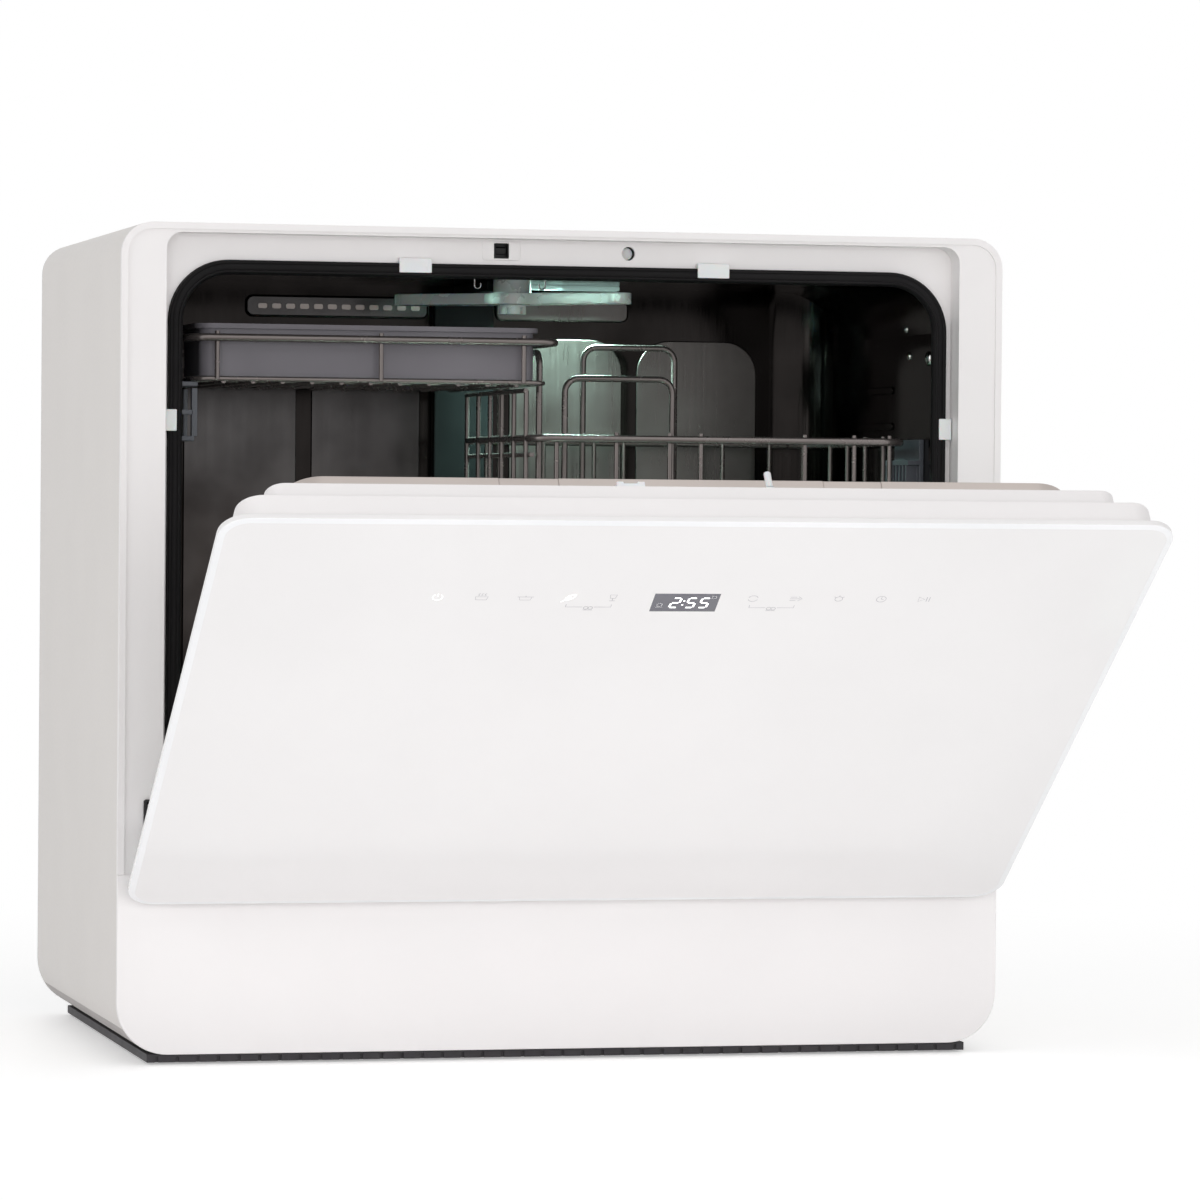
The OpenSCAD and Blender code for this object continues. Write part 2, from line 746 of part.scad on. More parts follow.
module control_board() color("seagreen") at_door() {
  slab(board_y, board_y + 1.6) rounded(-board_w / 2, board_w / 2, key_z - 18, key_z + 16, 3);
  // Touch pads behind the glass
  for (s = [-1, 1], i = [0 : key_count - 1])
    rod_y(9, glass_y + glass_t, board_y, s * (key_first + i * key_pitch), key_z);
}

module display_module() color("dimgray") at_door()
  slab(glass_y + glass_t, board_y)
    rounded(display_x - display_w / 2, display_x + display_w / 2, key_z - 3 - display_h / 2,
      key_z - 3 + display_h / 2, 2);

module keeper_mouth() {
  at_latch() block(-bolt_w / 2 - 0.5, bolt_w / 2 + 0.5, -bolt_out - 4, 0,
    -bolt_h / 2 - 0.4, bolt_h / 2 + 0.4);
}

module door_keeper() color("whitesmoke") at_door() difference() {
  block(-latch_x - 8, -latch_x + 8, plug_back, plug_back + 3.5, latch_z - 7.5, plug_top - 0.5);
  keeper_mouth();
}

module door_peg() color("whitesmoke") at_door() {
  rod_y(peg_d, plug_back, plug_back + peg_len, switch_x, latch_z - 2);
  rod_y(peg_d + 4, plug_back, plug_back + 1.5, switch_x, latch_z - 3.5);
}

// Detergent and rinse aid dispenser
module dispenser_body() color("gray") at_door() difference() {
  union() {
    slab(liner_back, disp_back) rounded(disp_x - disp_w / 2, disp_x + disp_w / 2, disp_z, disp_z + disp_h, 9);
    slab(plug_back - 14, liner_back)
      rounded(disp_x - disp_w / 2 + 4, disp_x + disp_w / 2 - 4, disp_z + 4, disp_z + disp_h - 4, 5);
    // Rails of the sliding lid
    for (z = [disp_z + 10 - gap - 2, disp_z + disp_h - 10 + gap])
      block(cup_x - lid_w / 2, cup_x + lid_w / 2, disp_back, lid_y1 + 1.5, z, z + 2);
    for (z = [disp_z + 10 - gap - 2, disp_z + disp_h - 10 - 1.5])
      block(cup_x - lid_w / 2, cup_x + lid_w / 2, lid_y1 + gap, lid_y1 + 1.5, z, z + 3.8);
  }
  slab(plug_back - 11, disp_back + cut)
    rounded(cup_x - cup_w / 2, cup_x + cup_w / 2, disp_z + 14, disp_z + disp_h - 14, 6);
  rod_y(rinse_d - 8, liner_back - 16, disp_back + cut, rinse_x, disp_z + disp_h / 2);
}

module dispenser_lid() color("silver") at_door() difference() {
  slab(lid_y0, lid_y1)
    rounded(cup_x - lid_w / 2, cup_x + lid_w / 2, disp_z + 10, disp_z + disp_h - 10, 3);
  // Finger grip
  slab(lid_y0 + 1, lid_y1 + cut)
    rounded(cup_x + lid_w / 2 - 16, cup_x + lid_w / 2 - 8, disp_z + 24, disp_z + disp_h - 24, 2.5);
}

module rinse_cap() color("dimgray") at_door() {
  rod_y(rinse_d, disp_back + gap, disp_back + gap + 2.4, rinse_x, disp_z + disp_h / 2);
  rod_y(rinse_d - 8 - 2 * run_gap, liner_back - 10, disp_back + gap, rinse_x, disp_z + disp_h / 2);
}

// A ring sector from angle a0 to a1, cut out of the ring by a wider fan
module sector(r0, r1, a0, a1) {
  steps = 8;
  intersection() {
    difference() {
      circle(r1);
      circle(r0);
    }
    polygon(concat([[0, 0]], [for (i = [0 : steps]) let (a = a0 + (a1 - a0) * i / steps)
      [2 * r1 * cos(a), 2 * r1 * sin(a)]]));
  }
}

// Hinge plates are outlines in the Y-Z plane, centred on the pivot
module hinge_plate(x0, x1) {
  translate([x0, pivot_y, pivot_z]) rotate([90, 0, 90]) linear_extrude(x1 - x0) children();
}

module hinge_arm_right() color("white") at_door() {
  difference() {
    hinge_plate(arm_x0, arm_x1) {
      circle(ear_r);
      translate([-ear_r + 0.5, 0]) square([pivot_back - 2, arm_leg]);
      sector(arm_r_in, arm_r_out, arm_tail, 92);
    }
    rod_x(pin_d + 2 * pin_gap, arm_x0 - cut, arm_x1 + cut, pivot_y, pivot_z);
  }
  // Stud for the spring eye
  rod_x(stud_d, arm_x1, spring_x + 3, pivot_y + stud_r * cos(stud_angle), pivot_z + stud_r * sin(stud_angle));
}

module hinge_arm_left() on_left() hinge_arm_right();

module hinge_bracket_right() color("lightsteelblue") difference() {
  hinge_plate(bracket_x0, bracket_x1) {
    circle(ear_r);
    translate([0, -ear_r]) square([66 - pivot_y, 2 * ear_r]);
    translate([30 - pivot_y, -40]) square([36, 40]);
  }
  rod_x(pin_d, bracket_x0 - cut, bracket_x1 + cut, pivot_y, pivot_z);
}

module hinge_bracket_left() on_left() hinge_bracket_right();

module hinge_pins() color("silver") for (s = [-1, 1])
  rod_x(pin_d, s * bracket_x0, s * (arm_x1 + 1), pivot_y, pivot_z);

// The spring runs from the stud on the arm to the stud in the base
module door_spring_right() color("silver")
  translate([spring_x, stud_y, stud_z]) rotate([spring_tilt, 0, 0]) {
    for (y = [0, spring_run]) translate([0, y, 0]) rotate([0, 90, 0])
      rotate_extrude() translate([eye_r, 0]) circle(d = spring_wire, $fn = 24);
    difference() {
      rod_y(spring_d, eye_r, spring_run - eye_r, 0, 0);
      rod_y(spring_d - 2 * spring_wire, eye_r + 2, spring_run - eye_r - 2, 0, 0);
      for (y = [0, spring_run]) translate([0, y, 0]) rotate([0, 90, 0])
        cylinder(r = eye_r + spring_wire / 2 - 0.4, h = 20, center = true);
    }
  }

module door_spring_left() on_left() door_spring_right();

// Sump, filters and pumps
module sump() color("#2b2b2d") difference() {
  union() {
    rod_z(sump_d, floor_z - tub_t - 4, floor_z - tub_t, sump_x, sump_y);
    rod_z(sump_hole, sump_z - 20, floor_z - tub_t, sump_x, sump_y);
    // Socket of the wash pump and of the drain pump
    rod_x(34, sump_x - sump_hole / 2 - 14, sump_x, sump_y, pump_z);
    rod_x(28, sump_x, sump_x + sump_hole / 2 + 14, sump_y, pump_z);
  }
  rod_z(sump_hole - 2 * sump_wall, sump_z - 20 + sump_wall, floor_z + cut, sump_x, sump_y);
  rod_x(26, sump_x - sump_hole / 2 - 16, sump_x, sump_y, pump_z);
  rod_x(20, sump_x, sump_x + sump_hole / 2 + 16, sump_y, pump_z);
}

module filter_plate() color("silver") difference() {
  rod_z(plate_d, floor_z, floor_z + 1.5, sump_x, sump_y);
  rod_z(filter_d + 0.8, floor_z - cut, floor_z + 3, filter_x, filter_y);
  rod_z(spindle_d + 6, floor_z - cut, floor_z + 3, 0, spray_y);
  // Three rings of small holes, left out where the cup and the spindle pass
  for (i = [0 : 23], r = [44, 54, 64])
    let (x = sump_x + r * cos(i * 15 + r), y = sump_y + r * sin(i * 15 + r))
    if (norm([x - filter_x, y - filter_y]) > filter_d / 2 + 5 && norm([x, y - spray_y]) > spindle_d + 6)
      rod_z(4, floor_z - cut, floor_z + 3, x, y);
}

module filter_cup() color("gray") difference() {
  union() {
    rod_z(filter_d, sump_z - 12, floor_z + 4, filter_x, filter_y);
    // Grip across the mouth
    block(filter_x - filter_d / 2 + 6, filter_x + filter_d / 2 - 6, filter_y - 2, filter_y + 2, floor_z + 2,
      floor_z + 8);
  }
  difference() {
    rod_z(filter_d - 4, sump_z - 10, floor_z + 20, filter_x, filter_y);
    block(filter_x - filter_d, filter_x + filter_d, filter_y - 2, filter_y + 2, floor_z - 2, floor_z + 20);
  }
  for (i = [0 : 3], z = [sump_z + 4, sump_z + 32])
    translate([filter_x, filter_y, z]) rotate([0, 90, i * 45 + 22.5])
      translate([-9, -4, -filter_d]) cube([18, 8, 2 * filter_d]);
}

module wash_pump() color("#3a3a3c") {
  difference() {
    union() {
      rod_x(pump_d, pump_x - 16, pump_x + 18, pump_y, pump_z);
      rod_x(32, pump_x + 18, sump_x - sump_hole / 2 - 14, pump_y, pump_z);
      rod_x(pump_d - 8, pump_x - 16 - pump_len, pump_x - 16, pump_y, pump_z);
      // Outlet that rises to the spray arms
      rod_z(24, pump_z, floor_z - tub_t - 8, pump_x, pump_y + pump_d / 2 - 14);
    }
    rod_x(pump_d - 2 * pump_wall, pump_x - 12, pump_x + 15, pump_y, pump_z);
    rod_x(25, pump_x + 14, sump_x - sump_hole / 2 - 12, pump_y, pump_z);
    rod_z(18, pump_z, floor_z, pump_x, pump_y + pump_d / 2 - 14);
    rod_x(8.2, pump_x - 60, pump_x, pump_y, pump_z);
  }
  for (x = [pump_x - pump_len, pump_x - 30])
    difference() {
      block(x, x + 10, pump_y - 24, pump_y + 24, base_floor, pump_z);
      rod_x(pump_d - 9, x - cut, x + 10 + cut, pump_y, pump_z);
    }
}

module wash_impeller() color("white") {
  rod_x(8, pump_x - 55, pump_x + 8, pump_y, pump_z);
  rod_x(54, pump_x - 8, pump_x - 6, pump_y, pump_z);
  for (i = [0 : blade_count - 1])
    translate([pump_x - 6, pump_y, pump_z]) rotate([i * 360 / blade_count, 0, 0])
      translate([0, 3, -1]) cube([12, 23, 2]);
}

module drain_pump() color("#3a3a3c") {
  x0 = drain_x0;
  rod_x(28, x0, x0 + 14, sump_y, pump_z);
  rod_x(50, x0 + 14, x0 + 34, sump_y, pump_z);
  rod_x(40, x0 + 34, x0 + 78, sump_y, pump_z);
  block(x0 + 20, x0 + 30, sump_y - 14, sump_y + 14, base_floor, pump_z - 20);
  rod_y(drain_d, sump_y, sump_y + 40, drain_x, pump_z);
}

module flow_heater() color("silver") {
  rod_x(36, pump_x - 10, pump_x + 90, heater_y, pump_z);
  for (x = [pump_x + 5, pump_x + 75])
    block(x - 4, x + 4, heater_y - 12, heater_y + 12, base_floor, pump_z - 10);
  rod_y(22, pump_y + pump_d / 2, heater_y, pump_x + 4, pump_z);
}

// Spray arms
module spray_blade(reach, root, tip) {
  hull() {
    circle(d = root);
    translate([reach - tip / 2, 0]) circle(d = tip);
  }
}

module spray_arm(reach, z, top_side, turn, y) {
  translate([0, y, z]) rotate([0, 0, turn]) difference() {
    union() {
      for (a = [0, 180]) rotate([0, 0, a]) linear_extrude(arm_th) spray_blade(reach, 30, 20, $fn = 32);
      cylinder(d = 38, h = arm_th);
    }
    translate([0, 0, -cut]) cylinder(d = spindle_d + 2 * run_gap, h = arm_th + 2 * cut);
    for (a = [0, 180], i = [1 : 3]) rotate([0, 0, a])
      translate([reach * (0.16 + 0.24 * i) - 4, -1.2, top_side ? arm_th - 2 : -cut]) cube([8, 2.4, 2 + cut]);
  }
}

module lower_spray_arm() color("gray") spray_arm(lower_reach, arm_z, true, 24, spray_y);

module lower_spindle() color("dimgray") {
  rod_z(spindle_d, sump_z - 20 + sump_wall, arm_z + arm_th + 1, 0, spray_y);
  rod_z(spindle_d + 10, arm_z - 4, arm_z - gap, 0, spray_y);
}

module upper_spray_arm() color("lightgray") spray_arm(upper_reach, upper_arm_z, false, -38, upper_spray_y);

module upper_spindle() color("lightgray") {
  y = upper_spray_y;
  rod_z(spindle_d, upper_arm_z - 5, ceiling_z + 6, 0, y);
  rod_z(24, upper_arm_z + arm_th + gap, ceiling_z, 0, y);
  difference() {
    rod_z(18, upper_arm_z - 6, upper_arm_z - gap, 0, y);
    for (i = [0 : 5]) translate([0, y, upper_arm_z - 6 - cut]) rotate([0, 0, i * 60])
      translate([6, -1, 0]) cube([5, 2, 4 + cut]);
  }
}

module feed_duct() color("darkslategray") {
  block(duct_x - duct_w / 2, duct_x + duct_w / 2, tub_back - duct_d, tub_back, floor_z + 6, ceiling_z - 7);
  block(-14, 14, upper_spray_y + 12.3, tub_back, ceiling_z - 7, ceiling_z);
}

// Water and drain fittings
module inlet_valve() color("ivory") {
  rod_y(inlet_d, pocket_y + wall, body_d + fitting_out, inlet_x, fitting_z);
  rod_y(inlet_d + 1.6, pocket_y - 30, pocket_y + wall, inlet_x, fitting_z);
  block(inlet_x - 24, inlet_x + 24, pocket_y - 62, pocket_y - 26, fitting_z - 16, fitting_z + 16);
  block(inlet_x - 10, inlet_x + 10, pocket_y - 56, pocket_y - 34, base_floor, fitting_z - 16);
}

module drain_hose() color("dimgray") difference() {
  union() {
    rod_y(drain_d + 4, sump_y + 40, pocket_y, drain_x, fitting_z);
    rod_y(drain_d, pocket_y, body_d + fitting_out, drain_x, fitting_z);
  }
  rod_y(drain_d - 5, sump_y + 42, body_d + fitting_out + cut, drain_x, fitting_z);
}

module air_breaker() color("ivory") {
  x0 = -half_w + sheet_t + gap;
  x1 = -tub_half - tub_t - 4;
  y1 = tub_back - 10;
  y0 = y1 - 172;
  z0 = floor_z + 72;
  z1 = ceiling_z - 50;
  difference() {
    block(x0, x1, y0, y1, z0, z1);
    for (i = [0 : 4]) block(x0 - cut, x1 - 2, y0 + 2 + i * 34, y0 + 34 + i * 34, z0 + 2, z1 - 2);
  }
  // Port into the tub
  block(x1, -tub_half - tub_t, y0 + 70, y0 + 100, z1 - 130, z1 - 100);
}

module softener() color("ivory") {
  difference() {
    block(softener_x - 50, softener_x + 40, softener_y0, softener_y1, base_floor, floor_z - tub_t - 6);
    block(softener_x - 46, softener_x + 36, softener_y0 + 4, softener_y1 - 4, base_floor + 4, floor_z - 14);
    rod_z(cap_d - 20, floor_z - 20, floor_z, softener_x, softener_y);
  }
  difference() {
    rod_z(cap_d - 8 - 2 * gap, floor_z - tub_t - 6, floor_z + 2, softener_x, softener_y);
    rod_z(cap_d - 20, floor_z - 20, floor_z + 4, softener_x, softener_y);
  }
}

module salt_cap() color("dimgray") {
  rod_z(cap_d, floor_z + 2.3, floor_z + 12, softener_x, softener_y);
  rod_z(cap_d - 20 - 2 * run_gap, floor_z - 8, floor_z + 2.3, softener_x, softener_y);
  block(softener_x - 20, softener_x + 20, softener_y - 2, softener_y + 2, floor_z + 12, floor_z + 15);
}

module float_disc() color("white") {
  rod_z(34, base_floor + 0.3, base_floor + 12, float_x, float_y);
  rod_z(5, base_floor + 12, base_floor + 34, float_x, float_y);
}

module float_switch() color("#1c1c1e") difference() {
  union() {
    block(float_x - 12, float_x + 12, float_y - 9, float_y + 9, base_floor + 20, base_floor + 32);
    block(float_x + 22, float_x + 26, float_y - 9, float_y + 9, base_floor, base_floor + 32);
    block(float_x + 12, float_x + 22, float_y - 9, float_y + 9, base_floor + 28, base_floor + 32);
  }
  rod_z(5.2, base_floor, base_floor + 40, float_x, float_y);
}

module power_board() color("ivory") {
  x0 = half_w - 91;
  x1 = half_w - 35;
  difference() {
    block(x0, x1, 48, 100, base_floor, 62);
    block(x0 + 3, x1 - 3, 51, 97, base_floor + 3, 59);
  }
}

module cord_gland() color("#1c1c1e") difference() {
  union() {
    rod_y(22, pocket_y + wall, pocket_y + wall + 8, gland_x, fitting_z);
    rod_y(gland_neck, pocket_y - 6, pocket_y + wall, gland_x, fitting_z);
    rod_y(20, pocket_y - 10, pocket_y, gland_x, fitting_z);
  }
  rod_y(gland_bore, pocket_y - 12, body_d, gland_x, fitting_z);
}

// Wire racks
module lower_basket() color("gray") {
  $fn = 32;
  x0 = -basket_half;
  x1 = basket_half;
  y0 = rack_y;
  y1 = rack_back;
  rail_ring(x0, x1, y0, y1, basket_z, rail_d, 24);
  for (i = [-5 : 5]) rod_y(wire_d, y0, y1, i * 38, basket_z - 1.2);
  for (i = [1 : 4]) rod_x(wire_d, x0, x1, y0 + i * rack_d / 5, basket_z + 1.2);
  // Rail and wires around the cups
  rail_ring(fence_x, x1, y0, y1, cup_rail_z, rail_d, 14);
  for (x = cup_wires, y = [y0 + wire_in, y1 - wire_in]) rod_z(wire_d, basket_z, cup_rail_z + wire_tip, x, y);
  for (i = [1 : 4]) rod_z(wire_d, basket_z, cup_rail_z + wire_tip, x1 - wire_in, y0 + i * rack_d / 5 + 4);
  // Fence between cups and plates, which carries the upper rack
  for (i = [0 : 5]) rod_z(wire_d, basket_z, fence_top, fence_x - 1.2, y0 + 15 + i * (rack_d - 30) / 5);
  rod_y(wire_d, y0 + 14, y1 - 14, fence_x - 1.6, fence_top);
  rod_y(wire_d, y0 + 8, y1 - 8, fence_x + 0.9, cup_rail_z - 10);
  // Rail around the plates
  for (y = [y0, y1]) rod_x(wire_d, x0 + 14, fence_x, y, plate_rail_z);
  rod_y(wire_d, y0 + 14, y1 - 14, x0, plate_rail_z);
  translate([x0 + 14, y1 - 14, plate_rail_z]) rotate([0, 0, 90]) elbow(wire_d, 14);
  translate([x0 + 14, y0 + 14, plate_rail_z]) rotate([0, 0, 180]) elbow(wire_d, 14);
  for (i = [0 : 4], y = [y0 + 1, y1 - 1]) rod_z(wire_d, basket_z, plate_rail_z, x0 + 30 + i * 40, y);
  for (i = [1 : 4]) rod_z(wire_d, basket_z, plate_rail_z, x0 + 1, y0 + i * rack_d / 5 + 4);
  for (y = [y0 + wire_in, y1 - wire_in]) rod_z(wire_d, basket_z, cup_rail_z, fence_x + 15, y);
  // Plate tines
  for (i = [0 : 6], y = [y0 + 2 * rack_d / 5, y0 + 3 * rack_d / 5])
    rod_z(wire_d, basket_z, basket_z + 70, x0 + 34 + i * 25, y - 1);
  // Cup supports
  loop_x(27, 97, y0 + 2 * rack_d / 5 + 1, basket_z, upper_z + 5, loop_d, loop_r);
  loop_x(58, 119, y0 + 4 * rack_d / 5 + 1, basket_z, upper_z + 27, loop_d, loop_r);
  // Tall loop beside the upper rack
  translate([tall_x, 0, 0]) rotate([0, 0, 90])
    loop_x(y0 + rack_d / 5, y0 + 3 * rack_d / 4, 0, basket_z, upper_rail_z - rail_r - 2.6, loop_d, loop_r);
  // Axle stubs for the wheels
  for (s = [-1, 1], y = wheel_y) rod_x(axle_d, s * (basket_half - 4), s * (wheel_x1 + 0.6), y, wheel_z);
}

module wheel_pair(y) {
  for (s = [-1, 1]) difference() {
    rod_x(wheel_d, s * wheel_x0, s * wheel_x1, y, wheel_z);
    rod_x(axle_d + 2 * run_gap, s * (basket_half - 10), s * (basket_half + 30), y, wheel_z);
  }
}

module front_wheels() color("dimgray") wheel_pair(wheel_y[0]);
module rear_wheels() color("dimgray") wheel_pair(wheel_y[1]);

module upper_rack() color("gray") {
  $fn = 32;
  rail_ring(rack_x0, rack_x1, rack_y, rack_back, upper_rail_z, rail_d, 10);
  rail_ring(rack_x0 + 3, rack_x1 - 7, rack_y + 3, rack_back - 3, upper_z, wire_d, 8);
  for (i = [1 : 11]) let (x = rack_x0 + 3 + i * (rack_x1 - rack_x0 - 10) / 12)
    rod_y(wire_d, rack_y + 3, rack_back - 3, x, upper_z - floor_drop);
  for (i = [1 : 3]) rod_x(wire_d, rack_x0 + 3, rack_x1 - 7, rack_y + i * rack_d / 4, upper_z);
  for (x = [rack_x0 + 17, (rack_x0 + rack_x1) / 2 + 4, rack_x1 - 21], y = [rack_y + 1.6, rack_back - 1.6])
    rod_z(wire_d, upper_z, upper_rail_z + wire_tip, x, y);
  for (y = [rack_y + 40, rack_back - 40]) rod_z(wire_d, upper_z, upper_rail_z + wire_tip, rack_x0 + 1.6, y);
}

module cutlery_tray() color("gray") {
  x0 = rack_x0 + 8;
  x1 = rack_x1 - 12;
  y0 = rack_y + 9;
  y1 = rack_back - 9;
  z1 = tray_z0 + tray_h;
  difference() {
    union() {
      translate([0, 0, tray_z0]) linear_extrude(tray_h) rounded(x0, x1, y0, y1, 8);
      translate([0, 0, z1 - 3]) linear_extrude(3) rounded(x0 - 3, x1 + 3, y0 - 3, y1 + 3, 11);
    }
    for (i = [0 : 2]) let (w = (x1 - x0 - tray_wall) / 3)
      translate([0, 0, tray_z0 + tray_wall]) linear_extrude(tray_h)
        rounded(x0 + tray_wall + i * w, x0 + (i + 1) * w, y0 + tray_wall, y1 - tray_wall, 6);
  }
}

front_frame();
lower_panel();
outer_wrap();
rear_panel();
base_tray();
base_skirt();
feet();
tub();
tub_gasket();
opening_clips();
tub_lamp();
basket_runners();
rack_bracket_left();
rack_bracket_right();
latch_housing();
latch_bolt();
switch_plunger();
door_glass();
door_frame();
door_liner();
control_board();
display_module();
door_keeper();
door_peg();
dispenser_body();
dispenser_lid();
rinse_cap();
hinge_arm_left();
hinge_arm_right();
hinge_bracket_left();
hinge_bracket_right();
hinge_pins();
door_spring_left();
door_spring_right();
sump();
filter_plate();
filter_cup();
wash_pump();
wash_impeller();
drain_pump();
flow_heater();
lower_spray_arm();
lower_spindle();
upper_spray_arm();
upper_spindle();
feed_duct();
inlet_valve();
drain_hose();
air_breaker();
softener();
salt_cap();
float_disc();
float_switch();
power_board();
cord_gland();
lower_basket();
front_wheels();
rear_wheels();
upper_rack();
cutlery_tray();
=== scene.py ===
# %% [markdown]
# # A countertop dishwasher, dressed for the camera
# The frame below holds every part of the machine at its true size and place. This lesson gives each part
# the finish of the real one, softens its edges, and models by hand what a plain solid can't show: the
# ground edge of the glass door, its printed marks, the rubber seal, the screws and the threads.

# %% Load the frame
import json
import math
import bmesh
import bpy
from mathutils import Matrix, Vector


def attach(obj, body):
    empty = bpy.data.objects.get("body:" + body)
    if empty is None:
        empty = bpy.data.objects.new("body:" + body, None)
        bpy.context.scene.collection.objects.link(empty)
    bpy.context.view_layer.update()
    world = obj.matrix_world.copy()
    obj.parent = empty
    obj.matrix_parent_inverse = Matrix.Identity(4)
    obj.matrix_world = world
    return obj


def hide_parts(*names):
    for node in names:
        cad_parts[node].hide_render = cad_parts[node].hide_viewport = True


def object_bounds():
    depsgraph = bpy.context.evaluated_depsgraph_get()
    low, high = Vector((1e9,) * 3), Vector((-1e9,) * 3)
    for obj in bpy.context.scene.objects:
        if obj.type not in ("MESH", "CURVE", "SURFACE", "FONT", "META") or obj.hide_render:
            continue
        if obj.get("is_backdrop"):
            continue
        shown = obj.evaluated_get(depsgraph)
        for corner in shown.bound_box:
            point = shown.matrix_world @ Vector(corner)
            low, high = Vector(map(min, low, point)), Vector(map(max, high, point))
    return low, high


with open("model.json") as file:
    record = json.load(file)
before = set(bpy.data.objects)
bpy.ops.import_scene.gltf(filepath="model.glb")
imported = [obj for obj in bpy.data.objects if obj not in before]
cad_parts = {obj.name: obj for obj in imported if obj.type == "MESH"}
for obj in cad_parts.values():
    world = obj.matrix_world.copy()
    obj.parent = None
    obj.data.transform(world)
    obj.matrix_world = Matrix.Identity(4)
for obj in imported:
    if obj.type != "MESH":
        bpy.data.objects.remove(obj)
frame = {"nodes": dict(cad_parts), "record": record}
cad_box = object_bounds()
nodes = frame["nodes"]
body_of_node = {n: b for b, names in frame["record"]["behaviour"]["bodies"].items() for n in names}

# %% [markdown]
# ## The camera
# The photograph is taken from the left, a little above half the height, through a long lens. The place and
# the turn come from a fit to the edges of the body and of the door. A lens of 165 mm on a 36 mm sensor gives
# the photograph's weak perspective, and no shift is needed.

# %% Camera
view = bpy.data.cameras.new("Camera")
view.lens = 165.2
view.sensor_width = 36
view.clip_end = 50
camera = bpy.data.objects.new("Camera", view)
camera.location = (-0.7794, -3.2566, 0.3374)
camera.rotation_euler = [math.radians(a) for a in (89.009, -0.495, -13.784)]
bpy.context.scene.collection.objects.link(camera)
bpy.context.scene.camera = camera
print("camera at", tuple(round(v, 3) for v in camera.location))

# %% [markdown]
# ## Small helpers for the modelling
# Sizes in this lesson are in millimetres, because that is how such a part is drawn, and Blender works in
# metres. `only` makes one object the active one. `pick` selects faces or edges in edit mode by a rule on
# their place or direction. `settle` moves an object's place into its mesh, so that the object itself sits at
# the origin, gives it its body and its material, and hides the nodes that it stands for.

# %% Helpers for selecting and finishing
MM = 0.001


def mm(*v):
    return Vector(v) * MM


def only(ob):
    if bpy.context.mode != "OBJECT":
        bpy.ops.object.mode_set(mode="OBJECT")
    bpy.ops.object.select_all(action="DESELECT")
    ob.select_set(True)
    bpy.context.view_layer.objects.active = ob
    return ob


def edit(ob):
    only(ob)
    bpy.ops.object.mode_set(mode="EDIT")
    bpy.ops.mesh.select_all(action="SELECT")


def done():
    bpy.ops.object.mode_set(mode="OBJECT")


def pick(ob, kind, rule):
    """Selects the faces, edges or verts of ob that rule says yes to, and gives their number."""
    mesh = bmesh.from_edit_mesh(ob.data)
    bpy.ops.mesh.select_all(action="DESELECT")
    bpy.ops.mesh.select_mode(type={"faces": "FACE", "edges": "EDGE", "verts": "VERT"}[kind])
    mesh.normal_update()
    found = [e for e in getattr(mesh, kind) if rule(e)]
    for e in found:
        e.select_set(True)
    mesh.select_flush_mode()
    bmesh.update_edit_mesh(ob.data)
    return len(found)


def modify(ob, kind, **settings):
    """Adds a modifier with its settings and applies it."""
    only(ob)
    m = ob.modifiers.new(kind.title(), kind)
    for key, value in settings.items():
        setattr(m, key, value)
    bpy.ops.object.modifier_apply(modifier=m.name)


def soften(ob, width, steps=2, angle=35):
    """Rounds the sharp edges, width in millimetres, and shades the flats flat and the rounds round."""
    modify(ob, "BEVEL", width=width * MM, segments=steps, limit_method="ANGLE",
           angle_limit=math.radians(angle), use_clamp_overlap=True)
    only(ob)
    bpy.ops.object.shade_smooth_by_angle(angle=math.radians(angle))
    modify(ob, "WEIGHTED_NORMAL", keep_sharp=True, weight=80)


# Pieces of the door are drawn on the closed door, and SWING turns them into the photograph's pose
HINGE_PIN = mm(0, -9.5, 107)
OPEN_ANGLE = math.radians(54.6)
SWING = Matrix.Translation(HINGE_PIN) @ Matrix.Rotation(OPEN_ANGLE, 4, "X") @ Matrix.Translation(-HINGE_PIN)


def settle(ob, body, paint, swing=False, instead=()):
    """Puts ob's place into its mesh, gives it its body and material, and hides the nodes it stands for."""
    if swing:
        ob.matrix_world = SWING @ ob.matrix_world
    only(ob)
    bpy.ops.object.transform_apply(location=True, rotation=True, scale=True)
    ob.data.materials.clear()
    ob.data.materials.append(paint)
    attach(ob, body)
    if instead:
        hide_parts(*instead)
    return ob


def block(name, lo, hi):
    """A box between two corners, to be shaped further."""
    bpy.ops.object.select_all(action="DESELECT")
    lo, hi = mm(*lo), mm(*hi)
    bpy.ops.mesh.primitive_cube_add(size=1, location=(lo + hi) / 2, scale=hi - lo)
    ob = bpy.context.object
    ob.name = ob.data.name = name
    bpy.ops.object.transform_apply(location=True, rotation=True, scale=True)
    return ob


def wire(name, points, radius, closed=False, sides=4, girth=None):
    """A round wire through points, made a mesh. girth makes some points thinner."""
    curve = bpy.data.curves.new(name, "CURVE")
    curve.dimensions = "3D"
    curve.bevel_depth = radius * MM
    curve.bevel_resolution = sides
    curve.use_fill_caps = True
    if closed:
        points = points[:-1]
    line = curve.splines.new("POLY")
    line.points.add(len(points) - 1)
    for p, q in zip(line.points, points):
        p.co = (*mm(*q), 1)
    for i, k in (girth or {}).items():
        line.points[i].radius = k
    line.use_cyclic_u = closed
    ob = bpy.data.objects.new(name, curve)
    bpy.context.scene.collection.objects.link(ob)
    only(ob)
    bpy.ops.object.convert(target="MESH")
    bpy.ops.object.shade_smooth_by_angle(angle=math.radians(50))
    return bpy.context.object


